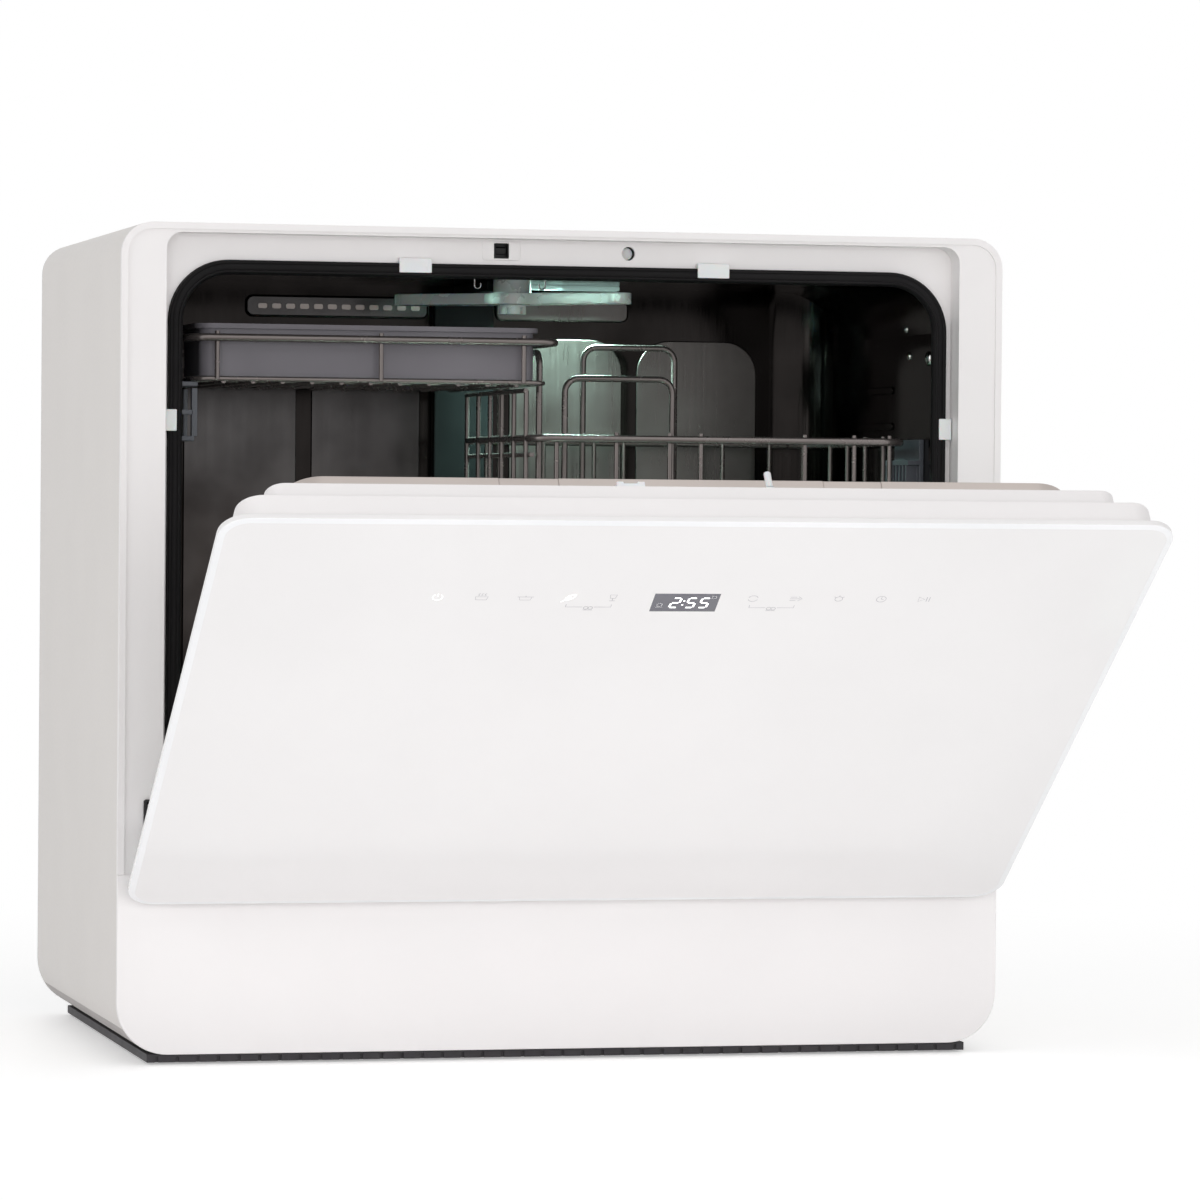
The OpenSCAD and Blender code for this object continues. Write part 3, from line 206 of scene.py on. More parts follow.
def arc(cx, cz, r, a0, a1, y, n=8):
    """Points of an upright arc in the X-Z plane, degrees counted from +X to +Z."""
    return [(cx + r * math.cos(math.radians(a0 + (a1 - a0) * i / n)), y,
             cz + r * math.sin(math.radians(a0 + (a1 - a0) * i / n))) for i in range(n + 1)]


def join(obs, name):
    """Makes one piece of several."""
    only(obs[0])
    for o in obs[1:]:
        o.select_set(True)
    bpy.ops.object.join()
    ob = bpy.context.object
    ob.name = ob.data.name = name
    return ob


print("helpers ready")

# %% [markdown]
# ## Finishes
# Each finish starts from what the real surface is. `add` puts a node in a material, sets its settings and
# links its inputs. `hexa` turns a colour as written on a screen into the linear values that Blender computes
# with. Patterns read Object coordinates, which are metres here, so a pattern whose grains are s millimetres
# wide has the scale 1000/s.

# %% Helpers for materials


def hexa(code):
    parts = [int(code[i:i + 2], 16) / 255 for i in (0, 2, 4)]
    return tuple(c / 12.92 if c <= 0.04045 else ((c + 0.055) / 1.055) ** 2.4 for c in parts) + (1.0,)


def add(tree, kind, links=None, **settings):
    """Adds a node. links maps an input's name or number to a socket or a value."""
    n = tree.nodes.new("ShaderNode" + kind)
    for key, value in settings.items():
        setattr(n, key, value)
    for key, value in (links or {}).items():
        if isinstance(value, bpy.types.NodeSocket):
            tree.links.new(value, n.inputs[key])
        else:
            n.inputs[key].default_value = value
    return n


def blank(name):
    """A new material with an output, and its Object coordinates."""
    m = bpy.data.materials.new(name)
    m.use_nodes = True
    tree = m.node_tree
    tree.nodes.clear()
    return m, tree, add(tree, "TexCoord").outputs["Object"], add(tree, "OutputMaterial")


def ramp(tree, fac, stops):
    """Colours by place on a ramp, as hex values."""
    n = add(tree, "ValToRGB", {"Fac": fac})
    e = n.color_ramp.elements
    while len(e) < len(stops):
        e.new(0.5)
    for item, (pos, code) in zip(e, stops):
        item.position = pos
        item.color = hexa(code)
    return n.outputs["Color"]


def span(tree, value, lo, hi, a=0.3, b=0.7):
    """Turns a pattern value between a and b into a number between lo and hi."""
    return add(tree, "MapRange", {"Value": value, "From Min": a, "From Max": b,
                                  "To Min": lo, "To Max": hi}).outputs["Result"]


def moulded(name, code, shade, rough, grain=1.4, depth=0.02, coat=0.0, **more):
    """A moulded plastic: spark-eroded grain, large soft flow shading and a little dust in the roughness."""
    m, tree, at, out = blank(name)
    fine = add(tree, "TexNoise", {"Vector": at, "Scale": 1000 / grain, "Detail": 3.0, "Roughness": 0.55})
    flow = add(tree, "TexNoise", {"Vector": at, "Scale": 1000 / 90, "Detail": 2.0})
    patch = add(tree, "TexNoise", {"Vector": at, "Scale": 1000 / 22, "Detail": 4.0})
    bump = add(tree, "Bump", {"Height": fine.outputs["Fac"], "Distance": depth * MM, "Strength": 1.0})
    skin = add(tree, "BsdfPrincipled", {
        "Base Color": ramp(tree, flow.outputs["Fac"], [(0.35, shade), (0.65, code)]),
        "Roughness": span(tree, patch.outputs["Fac"], rough - 0.04, rough + 0.06),
        "Normal": bump.outputs["Normal"], "IOR": 1.5, "Coat Weight": coat, "Coat Roughness": 0.12, **more})
    tree.links.new(skin.outputs["BSDF"], out.inputs["Surface"])
    return m


def metal(name, code, shade, rough, stretch, line=1.2, depth=0.008, metallic=1.0, uneven=0.05):
    """A rolled or brushed metal: fine lines along the axis with the small stretch value, and soft smears."""
    m, tree, at, out = blank(name)
    run = add(tree, "Mapping", {"Vector": at, "Scale": stretch})
    lines = add(tree, "TexNoise", {"Vector": run.outputs["Vector"], "Scale": 1000 / line, "Detail": 4.0,
                                   "Roughness": 0.6})
    smear = add(tree, "TexNoise", {"Vector": at, "Scale": 1000 / 45, "Detail": 3.0})
    bump = add(tree, "Bump", {"Height": lines.outputs["Fac"], "Distance": depth * MM, "Strength": 1.0})
    mix = add(tree, "Math", {0: lines.outputs["Fac"], 1: smear.outputs["Fac"]}, operation="MULTIPLY")
    skin = add(tree, "BsdfPrincipled", {
        "Base Color": ramp(tree, smear.outputs["Fac"], [(0.3, shade), (0.7, code)]),
        "Metallic": metallic, "Normal": bump.outputs["Normal"],
        "Roughness": span(tree, mix.outputs["Value"], rough - uneven, rough + uneven, 0.1, 0.4)})
    tree.links.new(skin.outputs["BSDF"], out.inputs["Surface"])
    return m


print("material helpers ready")

# %% [markdown]
# ### The plastics
# The front frame, the lower panel and the door's frame are satin ABS, so their edges carry a soft highlight.
# The base is matt ABS in light grey, the skirt in dark grey. The gasket clips and the door's keeper are POM,
# a milky nylon-like plastic that lets a little light in. The cutlery tray is grey polypropylene. Real spark
# grain is about 0.1 mm wide: it is drawn at 1.2 mm or more, so that it breaks up the highlights in a picture
# where one pixel is 0.7 mm.

# %% Plastics
PAINT = {}
PAINT["white_shell"] = moulded("satin_white_abs", "F3F0F0", "F1EEEE", 0.36, grain=1.6, depth=0.012, coat=0.15)
PAINT["grey_base"] = moulded("matt_grey_abs", "B9B4B2", "B2ADAB", 0.55, grain=1.8, depth=0.03)
PAINT["dark_skirt"] = moulded("matt_dark_abs", "3A373A", "323033", 0.65, grain=1.8, depth=0.04)
PAINT["clip_white"] = moulded("milky_pom", "EDEEEE", "E2E4E6", 0.3, grain=3, depth=0.01,
                              **{"Subsurface Weight": 0.25, "Subsurface Scale": 0.002})
PAINT["bracket_grey"] = moulded("slate_grey_abs", "5C5F66", "4E5158", 0.42, grain=1.6, depth=0.02)
# The feed duct gets its own nearly black colour, as painted shade where the tub lamp lights it.
duct_painted_shade = moulded("duct_polypropylene_painted_shade", "0B1012", "080C0E", 0.45, grain=1.8, depth=0.02,
                     **{"Specular IOR Level": 0.2})
PAINT["black_plastic"] = moulded("matt_black_abs", "1B1A1C", "141315", 0.5, grain=1.6, depth=0.02)
PAINT["dispenser_grey"] = moulded("dispenser_grey_abs", "8B8C91", "808186", 0.45, grain=1.6, depth=0.02)
PAINT["lid_grey"] = moulded("lid_grey_abs", "B7B9BD", "ACAEB3", 0.35, grain=1.6, depth=0.015)
PAINT["pump_black"] = moulded("glass_filled_nylon", "26262A", "1D1D20", 0.55, grain=2.4, depth=0.05)
PAINT["wheel_white"] = moulded("white_pom_wheel", "D9DADB", "CDCED0", 0.4, grain=2, depth=0.01)
PAINT["tank_ivory"] = moulded("ivory_polypropylene", "DEDACB", "D2CDBC", 0.45, grain=2.2, depth=0.03,
                              **{"Subsurface Weight": 0.15, "Subsurface Scale": 0.003})
PAINT["tray_grey"] = moulded("grey_polypropylene_tray", "77747A", "6B686E", 0.46, grain=1.6, depth=0.03)
PAINT["arm_grey"] = moulded("milky_polypropylene_arm", "E6EFEB", "D6E3DF", 0.25, grain=2.4, depth=0.01,
                            **{"Transmission Weight": 0.25, "Subsurface Weight": 0.3,
                               "Subsurface Scale": 0.004})
print(len(PAINT), "plastics")

# %% [markdown]
# ### Rubber, coats and metals
# The seal is EPDM rubber: nearly black, dull, with faint flow lines along it. The casing is powder-coated
# steel, whose skin is slightly wavy like orange peel, about 2 mm from crest to crest. The tub is polished
# stainless steel with fine rolling lines, coloured nearly black as painted shade for the dark inside of the
# tub; its pressed fields are coloured lighter as painted reflection and lamp light. The racks are steel wire
# with a grey nylon coat, which is smooth and slightly lumpy. Zinc-plated brackets show crystals of about 6
# mm.

# %% Rubber and hoses
PAINT["seal_rubber"] = moulded("epdm_seal", "100E10", "090809", 0.55, grain=5, depth=0.05,
                               **{"Specular IOR Level": 0.2})
PAINT["foot_rubber"] = moulded("foot_rubber", "2A292B", "201F21", 0.75, grain=1.2, depth=0.06)
RING_GAP = 4


def hose_rubber():
    """A grey EVA hose, ribbed round: rings RING_GAP apart along Y."""
    m, tree, at, out = blank("ribbed_grey_hose")
    ring = add(tree, "TexWave", {"Vector": at, "Scale": 1000 / RING_GAP / (2 * math.pi), "Distortion": 0.0},
               wave_type="BANDS", bands_direction="Y")
    dust = add(tree, "TexNoise", {"Vector": at, "Scale": 1000 / 8, "Detail": 4.0})
    bump = add(tree, "Bump", {"Height": ring.outputs["Fac"], "Distance": 0.5 * MM, "Strength": 1.0})
    skin = add(tree, "BsdfPrincipled", {
        "Base Color": ramp(tree, dust.outputs["Fac"], [(0.3, "6B6B70"), (0.7, "7A7A80")]),
        "Roughness": span(tree, dust.outputs["Fac"], 0.45, 0.6), "Normal": bump.outputs["Normal"]})
    tree.links.new(skin.outputs["BSDF"], out.inputs["Surface"])
    return m


PAINT["hose_grey"] = hose_rubber()
print("rubber ready")

# %% Coated sheet and wire


def coat_of_powder(name, code, shade, rough, wave=2.2, depth=0.03):
    """Powder coat: two sizes of waves, the orange peel and a longer swell, under an even colour."""
    m, tree, at, out = blank(name)
    peel = add(tree, "TexNoise", {"Vector": at, "Scale": 1000 / wave, "Detail": 2.0, "Roughness": 0.4})
    swell = add(tree, "TexNoise", {"Vector": at, "Scale": 1000 / 60, "Detail": 2.0})
    first = add(tree, "Bump", {"Height": swell.outputs["Fac"], "Distance": 0.03 * MM, "Strength": 1.0})
    bump = add(tree, "Bump", {"Height": peel.outputs["Fac"], "Distance": depth * MM, "Strength": 1.0,
                              "Normal": first.outputs["Normal"]})
    skin = add(tree, "BsdfPrincipled", {
        "Base Color": ramp(tree, swell.outputs["Fac"], [(0.35, shade), (0.65, code)]),
        "Roughness": span(tree, peel.outputs["Fac"], rough - 0.04, rough + 0.05),
        "Normal": bump.outputs["Normal"], "IOR": 1.5, "Coat Weight": 0.2, "Coat Roughness": 0.25})
    tree.links.new(skin.outputs["BSDF"], out.inputs["Surface"])
    return m


PAINT["wrap_paint"] = coat_of_powder("light_grey_powder_coat", "DFDAD6", "DDD8D4", 0.42)
PAINT["arm_white"] = coat_of_powder("white_powder_coat", "EFEEF0", "E6E4E6", 0.35, wave=1.6, depth=0.02)
PAINT["rack_grey"] = metal("satin_coated_wire", "7D7674", "736C6A", 0.25, (1.0, 1.0, 1.0), line=12,
                           depth=0.002, metallic=0.7)
print("coats ready")

# %% Metals
# A stretch that is small along one axis draws the lines out along it
UPRIGHT, ACROSS = (1.0, 1.0, 0.03), (0.03, 1.0, 1.0)
# The tub's steel is coloured nearly black, as painted shade for the dark inside of the tub.
PAINT["tub_steel"] = metal("stainless_tub_painted_shade", "2B2827", "1E1C1B", 0.12, UPRIGHT, depth=0.002)
# The pressed fields are the tub's own sheet, coloured lighter than the tub as painted reflection. The copy
# for the lamp's side is lighter still, as painted lamp light, and the copy for the far side darker, as
# painted shade.
pressed_steel = metal("field_steel_painted_lamp_light", "686563", "585553", 0.3, UPRIGHT, line=1.6, depth=0.002)
far_field_steel_painted_shade = metal("field_steel_painted_reflection_and_shade", "5A5858", "3E3C3C", 0.2, UPRIGHT, line=7, depth=0.004)
PAINT["hinge_steel"] = metal("plated_hinge_steel", "B9BABC", "A6A7A9", 0.3, (0.06, 1.0, 1.0))
PAINT["spring_steel"] = metal("drawn_spring_wire", "9A9A9C", "838385", 0.32, (1.0, 0.05, 1.0))
liner_steel = metal("brushed_liner_steel", "B9B0AB", "B3AAA5", 0.3, ACROSS, line=1.4, depth=0.004,
                    uneven=0.02)
chrome = metal("polished_stud_steel", "E4E4E2", "D4D4D2", 0.1, (1.0, 1.0, 0.1))


def zinc_coat():
    """Hot-dip zinc: flat crystals that reflect a little differently from each other."""
    m, tree, at, out = blank("zinc_coated_sheet")
    crystal = add(tree, "TexVoronoi", {"Vector": at, "Scale": 1000 / 6})
    grey = add(tree, "SeparateColor", {"Color": crystal.outputs["Color"]}).outputs[0]
    skin = add(tree, "BsdfPrincipled", {
        "Base Color": ramp(tree, grey, [(0.1, "ABAEB0"), (0.9, "B8BBBD")]), "Metallic": 1.0,
        "Roughness": span(tree, grey, 0.32, 0.5, 0.0, 1.0)})
    tree.links.new(skin.outputs["BSDF"], out.inputs["Surface"])
    return m


PAINT["zinc_steel"] = zinc_coat()
print("metals ready")

# %% [markdown]
# ### Glass, lamp, display and board
# The door's pane is clear glass with white enamel fired on its back, so it is white with a sharp reflection
# on top, slightly wavy as tempered glass is. Where the pane's edge is ground there is no enamel, and the
# glass shows lighter and cooler. The lamp's lens glows a cool white. The clock's digits and two of the marks
# are lit from behind.

# %% Glass and light


def enamelled_glass(name, code, shade, rough):
    """White enamel under glass, with the long swells that the rollers leave in tempered glass."""
    m, tree, at, out = blank(name)
    wave = add(tree, "Mapping", {"Vector": at, "Scale": (0.25, 1.0, 1.0)})
    swell = add(tree, "TexNoise", {"Vector": wave.outputs["Vector"], "Scale": 1000 / 70, "Detail": 1.0})
    cloud = add(tree, "TexNoise", {"Vector": at, "Scale": 1000 / 120, "Detail": 3.0})
    bump = add(tree, "Bump", {"Height": swell.outputs["Fac"], "Distance": 0.1 * MM, "Strength": 1.0})
    skin = add(tree, "BsdfPrincipled", {
        "Base Color": ramp(tree, cloud.outputs["Fac"], [(0.35, shade), (0.65, code)]),
        "Roughness": span(tree, cloud.outputs["Fac"], rough, rough + 0.02), "Normal": bump.outputs["Normal"],
        "IOR": 1.5, "Coat Weight": 0.6, "Coat Roughness": 0.02, "Coat Normal": bump.outputs["Normal"]})
    tree.links.new(skin.outputs["BSDF"], out.inputs["Surface"])
    return m


def glow(name, code, power, base="222222"):
    """A lit surface: a diffusing lens with light behind it, even all over."""
    m, tree, at, out = blank(name)
    spot = add(tree, "TexNoise", {"Vector": at, "Scale": 1000 / 12, "Detail": 2.0})
    skin = add(tree, "BsdfPrincipled", {
        "Base Color": hexa(base), "Roughness": 0.35, "Emission Strength": power,
        "Emission Color": ramp(tree, spot.outputs["Fac"], [(0.2, code), (0.8, code)])})
    tree.links.new(skin.outputs["BSDF"], out.inputs["Surface"])
    return m


PAINT["door_white_glass"] = enamelled_glass("white_enamelled_glass", "EEECEC", "ECEAEA", 0.06)
rim_glass = enamelled_glass("ground_glass_edge", "F6F6F8", "F0F1F3", 0.12)
PAINT["display_grey"] = moulded("smoked_display_window", "5E5D66", "565560", 0.1, grain=6, depth=0.004,
                                coat=0.6)
PAINT["lamp_lens"] = glow("lamp_lens_light", "D2FFF4", 0.2, "99AAAA")
lit_mark = glow("lit_mark", "FFFFFF", 0.8, "F4F4F6")
print_grey = moulded("printed_grey_ink", "A29FA6", "98959C", 0.35, grain=2, depth=0.004)


def solder_mask():
    """Green solder mask over copper tracks 1.5 mm apart."""
    m, tree, at, out = blank("green_solder_mask")
    tracks = add(tree, "TexBrick", {"Vector": at, "Scale": 1000 / 3, "Mortar Size": 0.1,
                                    "Color1": hexa("1F5A3A"), "Color2": hexa("1B5034"),
                                    "Mortar": hexa("2C7A4E")})
    skin = add(tree, "BsdfPrincipled", {"Base Color": tracks.outputs["Color"], "Roughness": 0.3,
                                        "Coat Weight": 0.4})
    tree.links.new(skin.outputs["BSDF"], out.inputs["Surface"])
    return m


PAINT["board_green"] = solder_mask()
wanted = {s["slot"] for s in frame["record"]["materials"]}
print("finishes missing for:", sorted(wanted - set(PAINT)))

# %% [markdown]
# ## The CAD parts get their finishes
# Parts whose shape is right stay as they are and only get the finish of their slot. Each of them has one
# material slot, named after the record's slot.

# %% Paint every node
slot_of = {}
for name, ob in nodes.items():
    for place in ob.material_slots:
        key = place.material.name.split(".")[0] if place.material else ""
        if key in PAINT:
            slot_of[name] = key
            place.material = PAINT[key]
print(len(slot_of), "nodes painted,", sorted(set(nodes) - set(slot_of)), "not")

# %% [markdown]
# ## Softened edges
# No moulded or pressed part has a knife edge. A copy of the part's mesh is merged, its flats are joined into
# whole faces, and every edge sharper than 35 degrees is rounded: by 0.3 mm on sheet, and by 0.4 mm or more
# on mouldings. The copy then stands for the node. Rounds wider than 1 mm get a step more.

# %% Round the edges of the parts that show


def copied(node):
    """A copy of a CAD node with a mesh of its own. The node is left as it is."""
    ob = nodes[node].copy()
    ob.data = nodes[node].data.copy()
    ob.parent = None
    ob.name = ob.data.name = node + "_skin"
    bpy.context.scene.collection.objects.link(ob)
    return ob


def stand_in(ob, node, width, steps=2, paint=None):
    """Merges a copy's loose triangles, rounds its edges by width, and puts it in its node's place."""
    edit(ob)
    bpy.ops.mesh.remove_doubles(threshold=2e-6)
    bpy.ops.mesh.dissolve_limited(angle_limit=math.radians(0.5))
    done()
    soften(ob, width, steps)
    return settle(ob, body_of_node[node], paint or PAINT[slot_of[node]], instead=(node,))


own_paint = {"feed_duct": duct_painted_shade, "door_liner": liner_steel}
for node, width in (("front_frame", 0.7), ("lower_panel", 0.6), ("outer_wrap", 0.3), ("rear_panel", 0.3),
                    ("base_tray", 0.6), ("base_skirt", 0.3), ("feet", 1.2), ("door_frame", 1.2),
                    ("opening_clips", 0.5), ("latch_bolt", 0.5), ("switch_plunger", 0.6),
                    ("door_keeper", 0.5), ("door_peg", 0.5), ("dispenser_body", 0.6),
                    ("dispenser_lid", 0.5), ("rinse_cap", 0.6), ("hinge_arm_left", 0.4),
                    ("hinge_arm_right", 0.4), ("filter_plate", 0.3), ("filter_cup", 0.6),
                    ("salt_cap", 1.0), ("lower_spray_arm", 1.2), ("upper_spray_arm", 1.6),
                    ("upper_spindle", 0.6), ("rack_bracket_left", 0.6), ("rack_bracket_right", 0.5),
                    ("cutlery_tray", 0.7), ("front_wheels", 0.8), ("rear_wheels", 0.8), ("tub_lamp", 0.8),
                    ("feed_duct", 2.5), ("door_liner", 1.2)):
    ob = stand_in(copied(node), node, width, 3 if width > 1 else 2, own_paint.get(node))
    print(node, len(ob.data.polygons), "faces")

# %% [markdown]
# ## The liner's scoops and the bracket's comb
# The liner is one deep-drawn sheet: the two scoops in its top edge stop before its rear wall. A closed
# block behind each scoop stands for that wall. The rack's left bracket ends in a comb of thin bars.

# %% Back walls of the scoops, and the comb
SCOOP_X = 93.4
backs = []
for side in (-1, 1):
    mid = side * SCOOP_X + 3
    back = block(f"scoop_back_{side}", (mid - 17.2, 22, 463.5), (mid + 17.2, 32.98, 469.98))
    soften(back, 0.8, 3)
    backs.append(back)
settle(join(backs, "liner_scoop_backs"), "door", liner_steel, swing=True)
comb = [block(f"comb_{i}", lo, hi) for i, (lo, hi) in enumerate((
    ((-223.4, 53.2, 376.8), (-219.8, 57.2, 406.2)), ((-238.2, 53.2, 390), (-222, 57.2, 393)),
    ((-223.4, 84, 376.8), (-220.6, 87, 406.2)), ((-223.4, 111, 376.8), (-220.6, 114.6, 406.2))))]
for bar in comb:
    soften(bar, 0.5)
settle(join(comb, "rack_bracket_comb"), "body", PAINT["bracket_grey"])
print("scoops and comb ready")

# %% [markdown]
# ## The glass pane
# The real pane is a 4 mm plate with rounded corners, whose front edge is ground to a shallow slope about
# 4 mm wide. A cube gets its four corners rounded, its front face inset, and the outer edge pushed back: that
# leaves the slope. The slope has a finish of its own, because the enamel stops where the grinding starts.

# %% Glass pane
PANE_HALF_W, PANE_HALF_H, PANE_MID_Z, PANE_CORNER = 272, 200, 302, 17
GRIND_WIDTH, GRIND_DEPTH = 3.8, 0.7


def on_outline(v):
    """True for a vert of the pane's front that lies on its outline, and not on the inset face."""
    x, z = abs(v.co.x) / MM, abs(v.co.z / MM - PANE_MID_Z)
    past = Vector((x - PANE_HALF_W + PANE_CORNER, z - PANE_HALF_H + PANE_CORNER))
    at_corner = min(past) > 0 and past.length > PANE_CORNER - 0.5
    return v.co.y < -18.5 * MM and (x > PANE_HALF_W - 0.01 or z > PANE_HALF_H - 0.01 or at_corner)


pane = block("glass_pane", (-PANE_HALF_W, -19, PANE_MID_Z - PANE_HALF_H),
             (PANE_HALF_W, -15, PANE_MID_Z + PANE_HALF_H))
edit(pane)
corners = pick(pane, "edges", lambda e: abs((e.verts[0].co - e.verts[1].co).y) > 0.003)
bpy.ops.mesh.bevel(offset=PANE_CORNER * MM, segments=14, affect="EDGES")
pick(pane, "faces", lambda f: f.normal.y < -0.9)
bpy.ops.mesh.inset(thickness=GRIND_WIDTH * MM)
pick(pane, "verts", on_outline)
bpy.ops.transform.translate(value=(0, GRIND_DEPTH * MM, 0))
done()
slope = [p.index for p in pane.data.polygons if p.normal.y < -0.5 and abs(p.normal.y) < 0.9999]
settle(pane, "door", PAINT["door_white_glass"], swing=True, instead=("door_glass",))
pane.data.materials.append(rim_glass)
for i in slope:
    pane.data.polygons[i].material_index = 1
soften(pane, 0.35, 2, 8)
print("pane:", corners, "corners,", len(slope), "faces on the slope")

# %% [markdown]
# ## Marks on the glass
# Ten touch keys stand in a row, five on each side of the clock. Their marks are printed in thin grey lines.
# Two small brackets under the row join a pair of keys. Two marks are lit. Each mark is drawn here with round
# lines on a field of 8 mm, so it stays generic: a ring with a bar, a pot with steam, a pot with a lid, a
# leaf, a glass, a split ring, lines with an arrow, a lamp, a clock and a start sign.

# %% Draw the marks
KEY_Z = 428.5
FACE = -19.02
KEY_PITCH = 25


def ring(cx, cz, r, a0=0, a1=360, n=20):
    return arc(cx, cz, r, a0, a1, FACE, n)


def poly(*pts):
    return [(x, FACE, z) for x, z in pts]


def drawn(index, x):
    """The strokes of the mark for one key."""
    z = KEY_Z
    tub = poly((x - 3.6, z + 0.6), (x - 3, z - 2.4), (x + 3, z - 2.4), (x + 3.6, z + 0.6), (x - 3.6, z + 0.6))
    steam = [poly((x + s - 0.5, z + 1.4), (x + s + 0.4, z + 2.2), (x + s - 0.4, z + 3.0),
                  (x + s + 0.5, z + 3.8)) for s in (-1.8, 0, 1.8)]
    return [
        [ring(x, z, 2.8, 125, 415), poly((x, z + 0.6), (x, z + 3.4))],
        [tub] + steam,
        [tub, poly((x - 4.6, z + 0.6), (x + 4.6, z + 0.6)), poly((x, z + 0.6), (x, z + 1.8))],
        [ring(x - 2.2, z + 3.2, 5.6, 270, 360) + ring(x + 3.4, z - 2.4, 5.6, 90, 180),
         poly((x - 4.2, z - 4.2), (x + 1.0, z + 0.8))],
        [poly((x - 2, z + 3), (x - 1.4, z - 0.4), (x + 1.4, z - 0.4), (x + 2, z + 3), (x - 2, z + 3)),
         poly((x, z - 0.4), (x, z - 2.8)), poly((x - 1.6, z - 2.8), (x + 1.6, z - 2.8))],
        [ring(x, z, 2.8, 20, 160), ring(x, z, 2.8, 200, 340)],
        [poly((x - 3.4, z + 1.6), (x + 0.4, z + 1.6)), poly((x - 3.4, z), (x + 2.4, z)),
         poly((x - 3.4, z - 1.6), (x, z - 1.6)), poly((x + 1.4, z + 2), (x + 3.6, z), (x + 1.4, z - 2))],
        [ring(x, z, 2.2), poly((x, z + 2.2), (x, z + 3.4)), poly((x + 1.9, z + 1.4), (x + 2.9, z + 2.1)),
         poly((x - 1.9, z + 1.4), (x - 2.9, z + 2.1))],
        [ring(x, z, 2.8), poly((x, z + 1.8), (x, z), (x + 1.4, z - 0.6))],
        [poly((x - 3, z + 2.2), (x - 3, z - 2.2), (x + 0.6, z), (x - 3, z + 2.2)),
         poly((x + 1.8, z + 2.2), (x + 1.8, z - 2.2)), poly((x + 3.4, z + 2.2), (x + 3.4, z - 2.2))],
    ][index]


def strokes(name, lines, width, paint):
    """Round lines on the pane, pressed flat to a fifth of their thickness, as one piece."""
    ob = join([wire(f"{name}_{i}", line, width, closed=line[0] == line[-1], sides=1)
               for i, line in enumerate(lines)], name)
    ob.matrix_world = Matrix.Translation((0, FACE * MM * 0.8, 0)) @ Matrix.Scale(0.2, 4, (0, 1, 0))
    return settle(ob, "door", paint, swing=True)


LIT_KEYS = (0, 3)
grey, lit = [], []
for i in range(5):
    for k, x in ((4 - i, -40.5 - KEY_PITCH * i), (5 + i, 40.5 + KEY_PITCH * i)):
        (lit if k in LIT_KEYS else grey).extend(drawn(k, x))
for x in (-53, 53):
    grey += [poly((x - 13, 422), (x - 13, 419.5), (x - 3.4, 419.5)),
             poly((x + 3.4, 419.5), (x + 13, 419.5), (x + 13, 422)),
             ring(x - 1.2, 418.6, 1.3), ring(x + 1.4, 418.6, 1.3), poly((x - 2.6, 416.6), (x + 2.8, 416.6))]
strokes("printed_marks", grey, 0.17, print_grey)
strokes("lit_marks", lit, 0.24, lit_mark)
print(len(grey), "grey lines,", len(lit), "lit lines")

# %% [markdown]
# ## The clock
# The window is a smoked patch in the enamel, and slanted seven-segment digits shine through it. A segment is
# a short bar, made once for each place in a digit. The film isn't clear here, so the bars are drawn a tenth
# of a millimetre in front of it.

# %% Clock window and digits
window = block("clock_window", (-17, -19.08, 415.5), (21, -18.9, 433))
soften(window, 0.05, 1)
settle(window, "door", PAINT["display_grey"], swing=True)
LEAN = 0.12
DIGIT_Z, DIGIT_W, DIGIT_H = 419.5, 4.6, 9.2
PROUD = 0.08
SHORTER = 0.12
SEGMENTS = {"2": "abged", "5": "afgcd"}


def digit(char, x0):
    """The bars of one digit whose lower left corner is at x0, a little apart from each other."""
    w, h = DIGIT_W, DIGIT_H
    ends = {"a": ((0, h), (w, h)), "b": ((w, h), (w, h / 2)), "c": ((w, h / 2), (w, 0)),
            "d": ((0, 0), (w, 0)), "e": ((0, h / 2), (0, 0)), "f": ((0, h), (0, h / 2)),
            "g": ((0, h / 2), (w, h / 2))}
    out = []
    for s in SEGMENTS[char]:
        (ax, az), (bx, bz) = ends[s]
        a = (ax + (bx - ax) * SHORTER, az + (bz - az) * SHORTER)
        b = (bx - (bx - ax) * SHORTER, bz - (bz - az) * SHORTER)
        out.append([(x0 + px + LEAN * pz, FACE - PROUD, DIGIT_Z + pz) for px, pz in (a, b)])
    return out


bars = digit("2", -6.5) + digit("5", 2.6) + digit("5", 10.2)
bars += [[(0.4 + LEAN * z, FACE - PROUD, DIGIT_Z + z), (0.5 + LEAN * z, FACE - PROUD, DIGIT_Z + 0.9 + z)]
         for z in (2.2, 6)]
strokes("clock_digits", bars, 0.62, glow("lit_digits", "FFFFFF", 1.6, "F4F4F6"))
small = [ring(-12.4, 422, 1.5), poly((-14.4, 419.8), (-10.4, 419.8)),
         poly((16.6, 428.6), (16.6, 430.8), (19, 430.8), (19, 428.6), (16.6, 428.6))]
small = [[(x, y - 0.09, z) for x, y, z in line] for line in small]
strokes("clock_signs", small, 0.24, lit_mark)
print(len(bars), "bars in the clock")

# %% [markdown]
# ## The door seal
# The seal is an extruded rubber bulb that is pushed over the rim of the opening, up one side, over the top
# and down the other. A tube follows that path, with a thinner lip and a bead in front of it. It is drawn out
# from points rather than spun, because the corners differ from the straights only in the path.

# %% Rubber seal


def gate_path(half, top, r, y):
    """Points up the left side of the opening, over its top and down the right side."""
    heights = (146, 172, 186, 300)
    arch = arc(-half + r, top - r, r, 180, 90, y, 14) + arc(half - r, top - r, r, 90, 0, y, 14)
    return [(-half, y, z) for z in heights] + arch + [(half, y, z) for z in reversed(heights)]


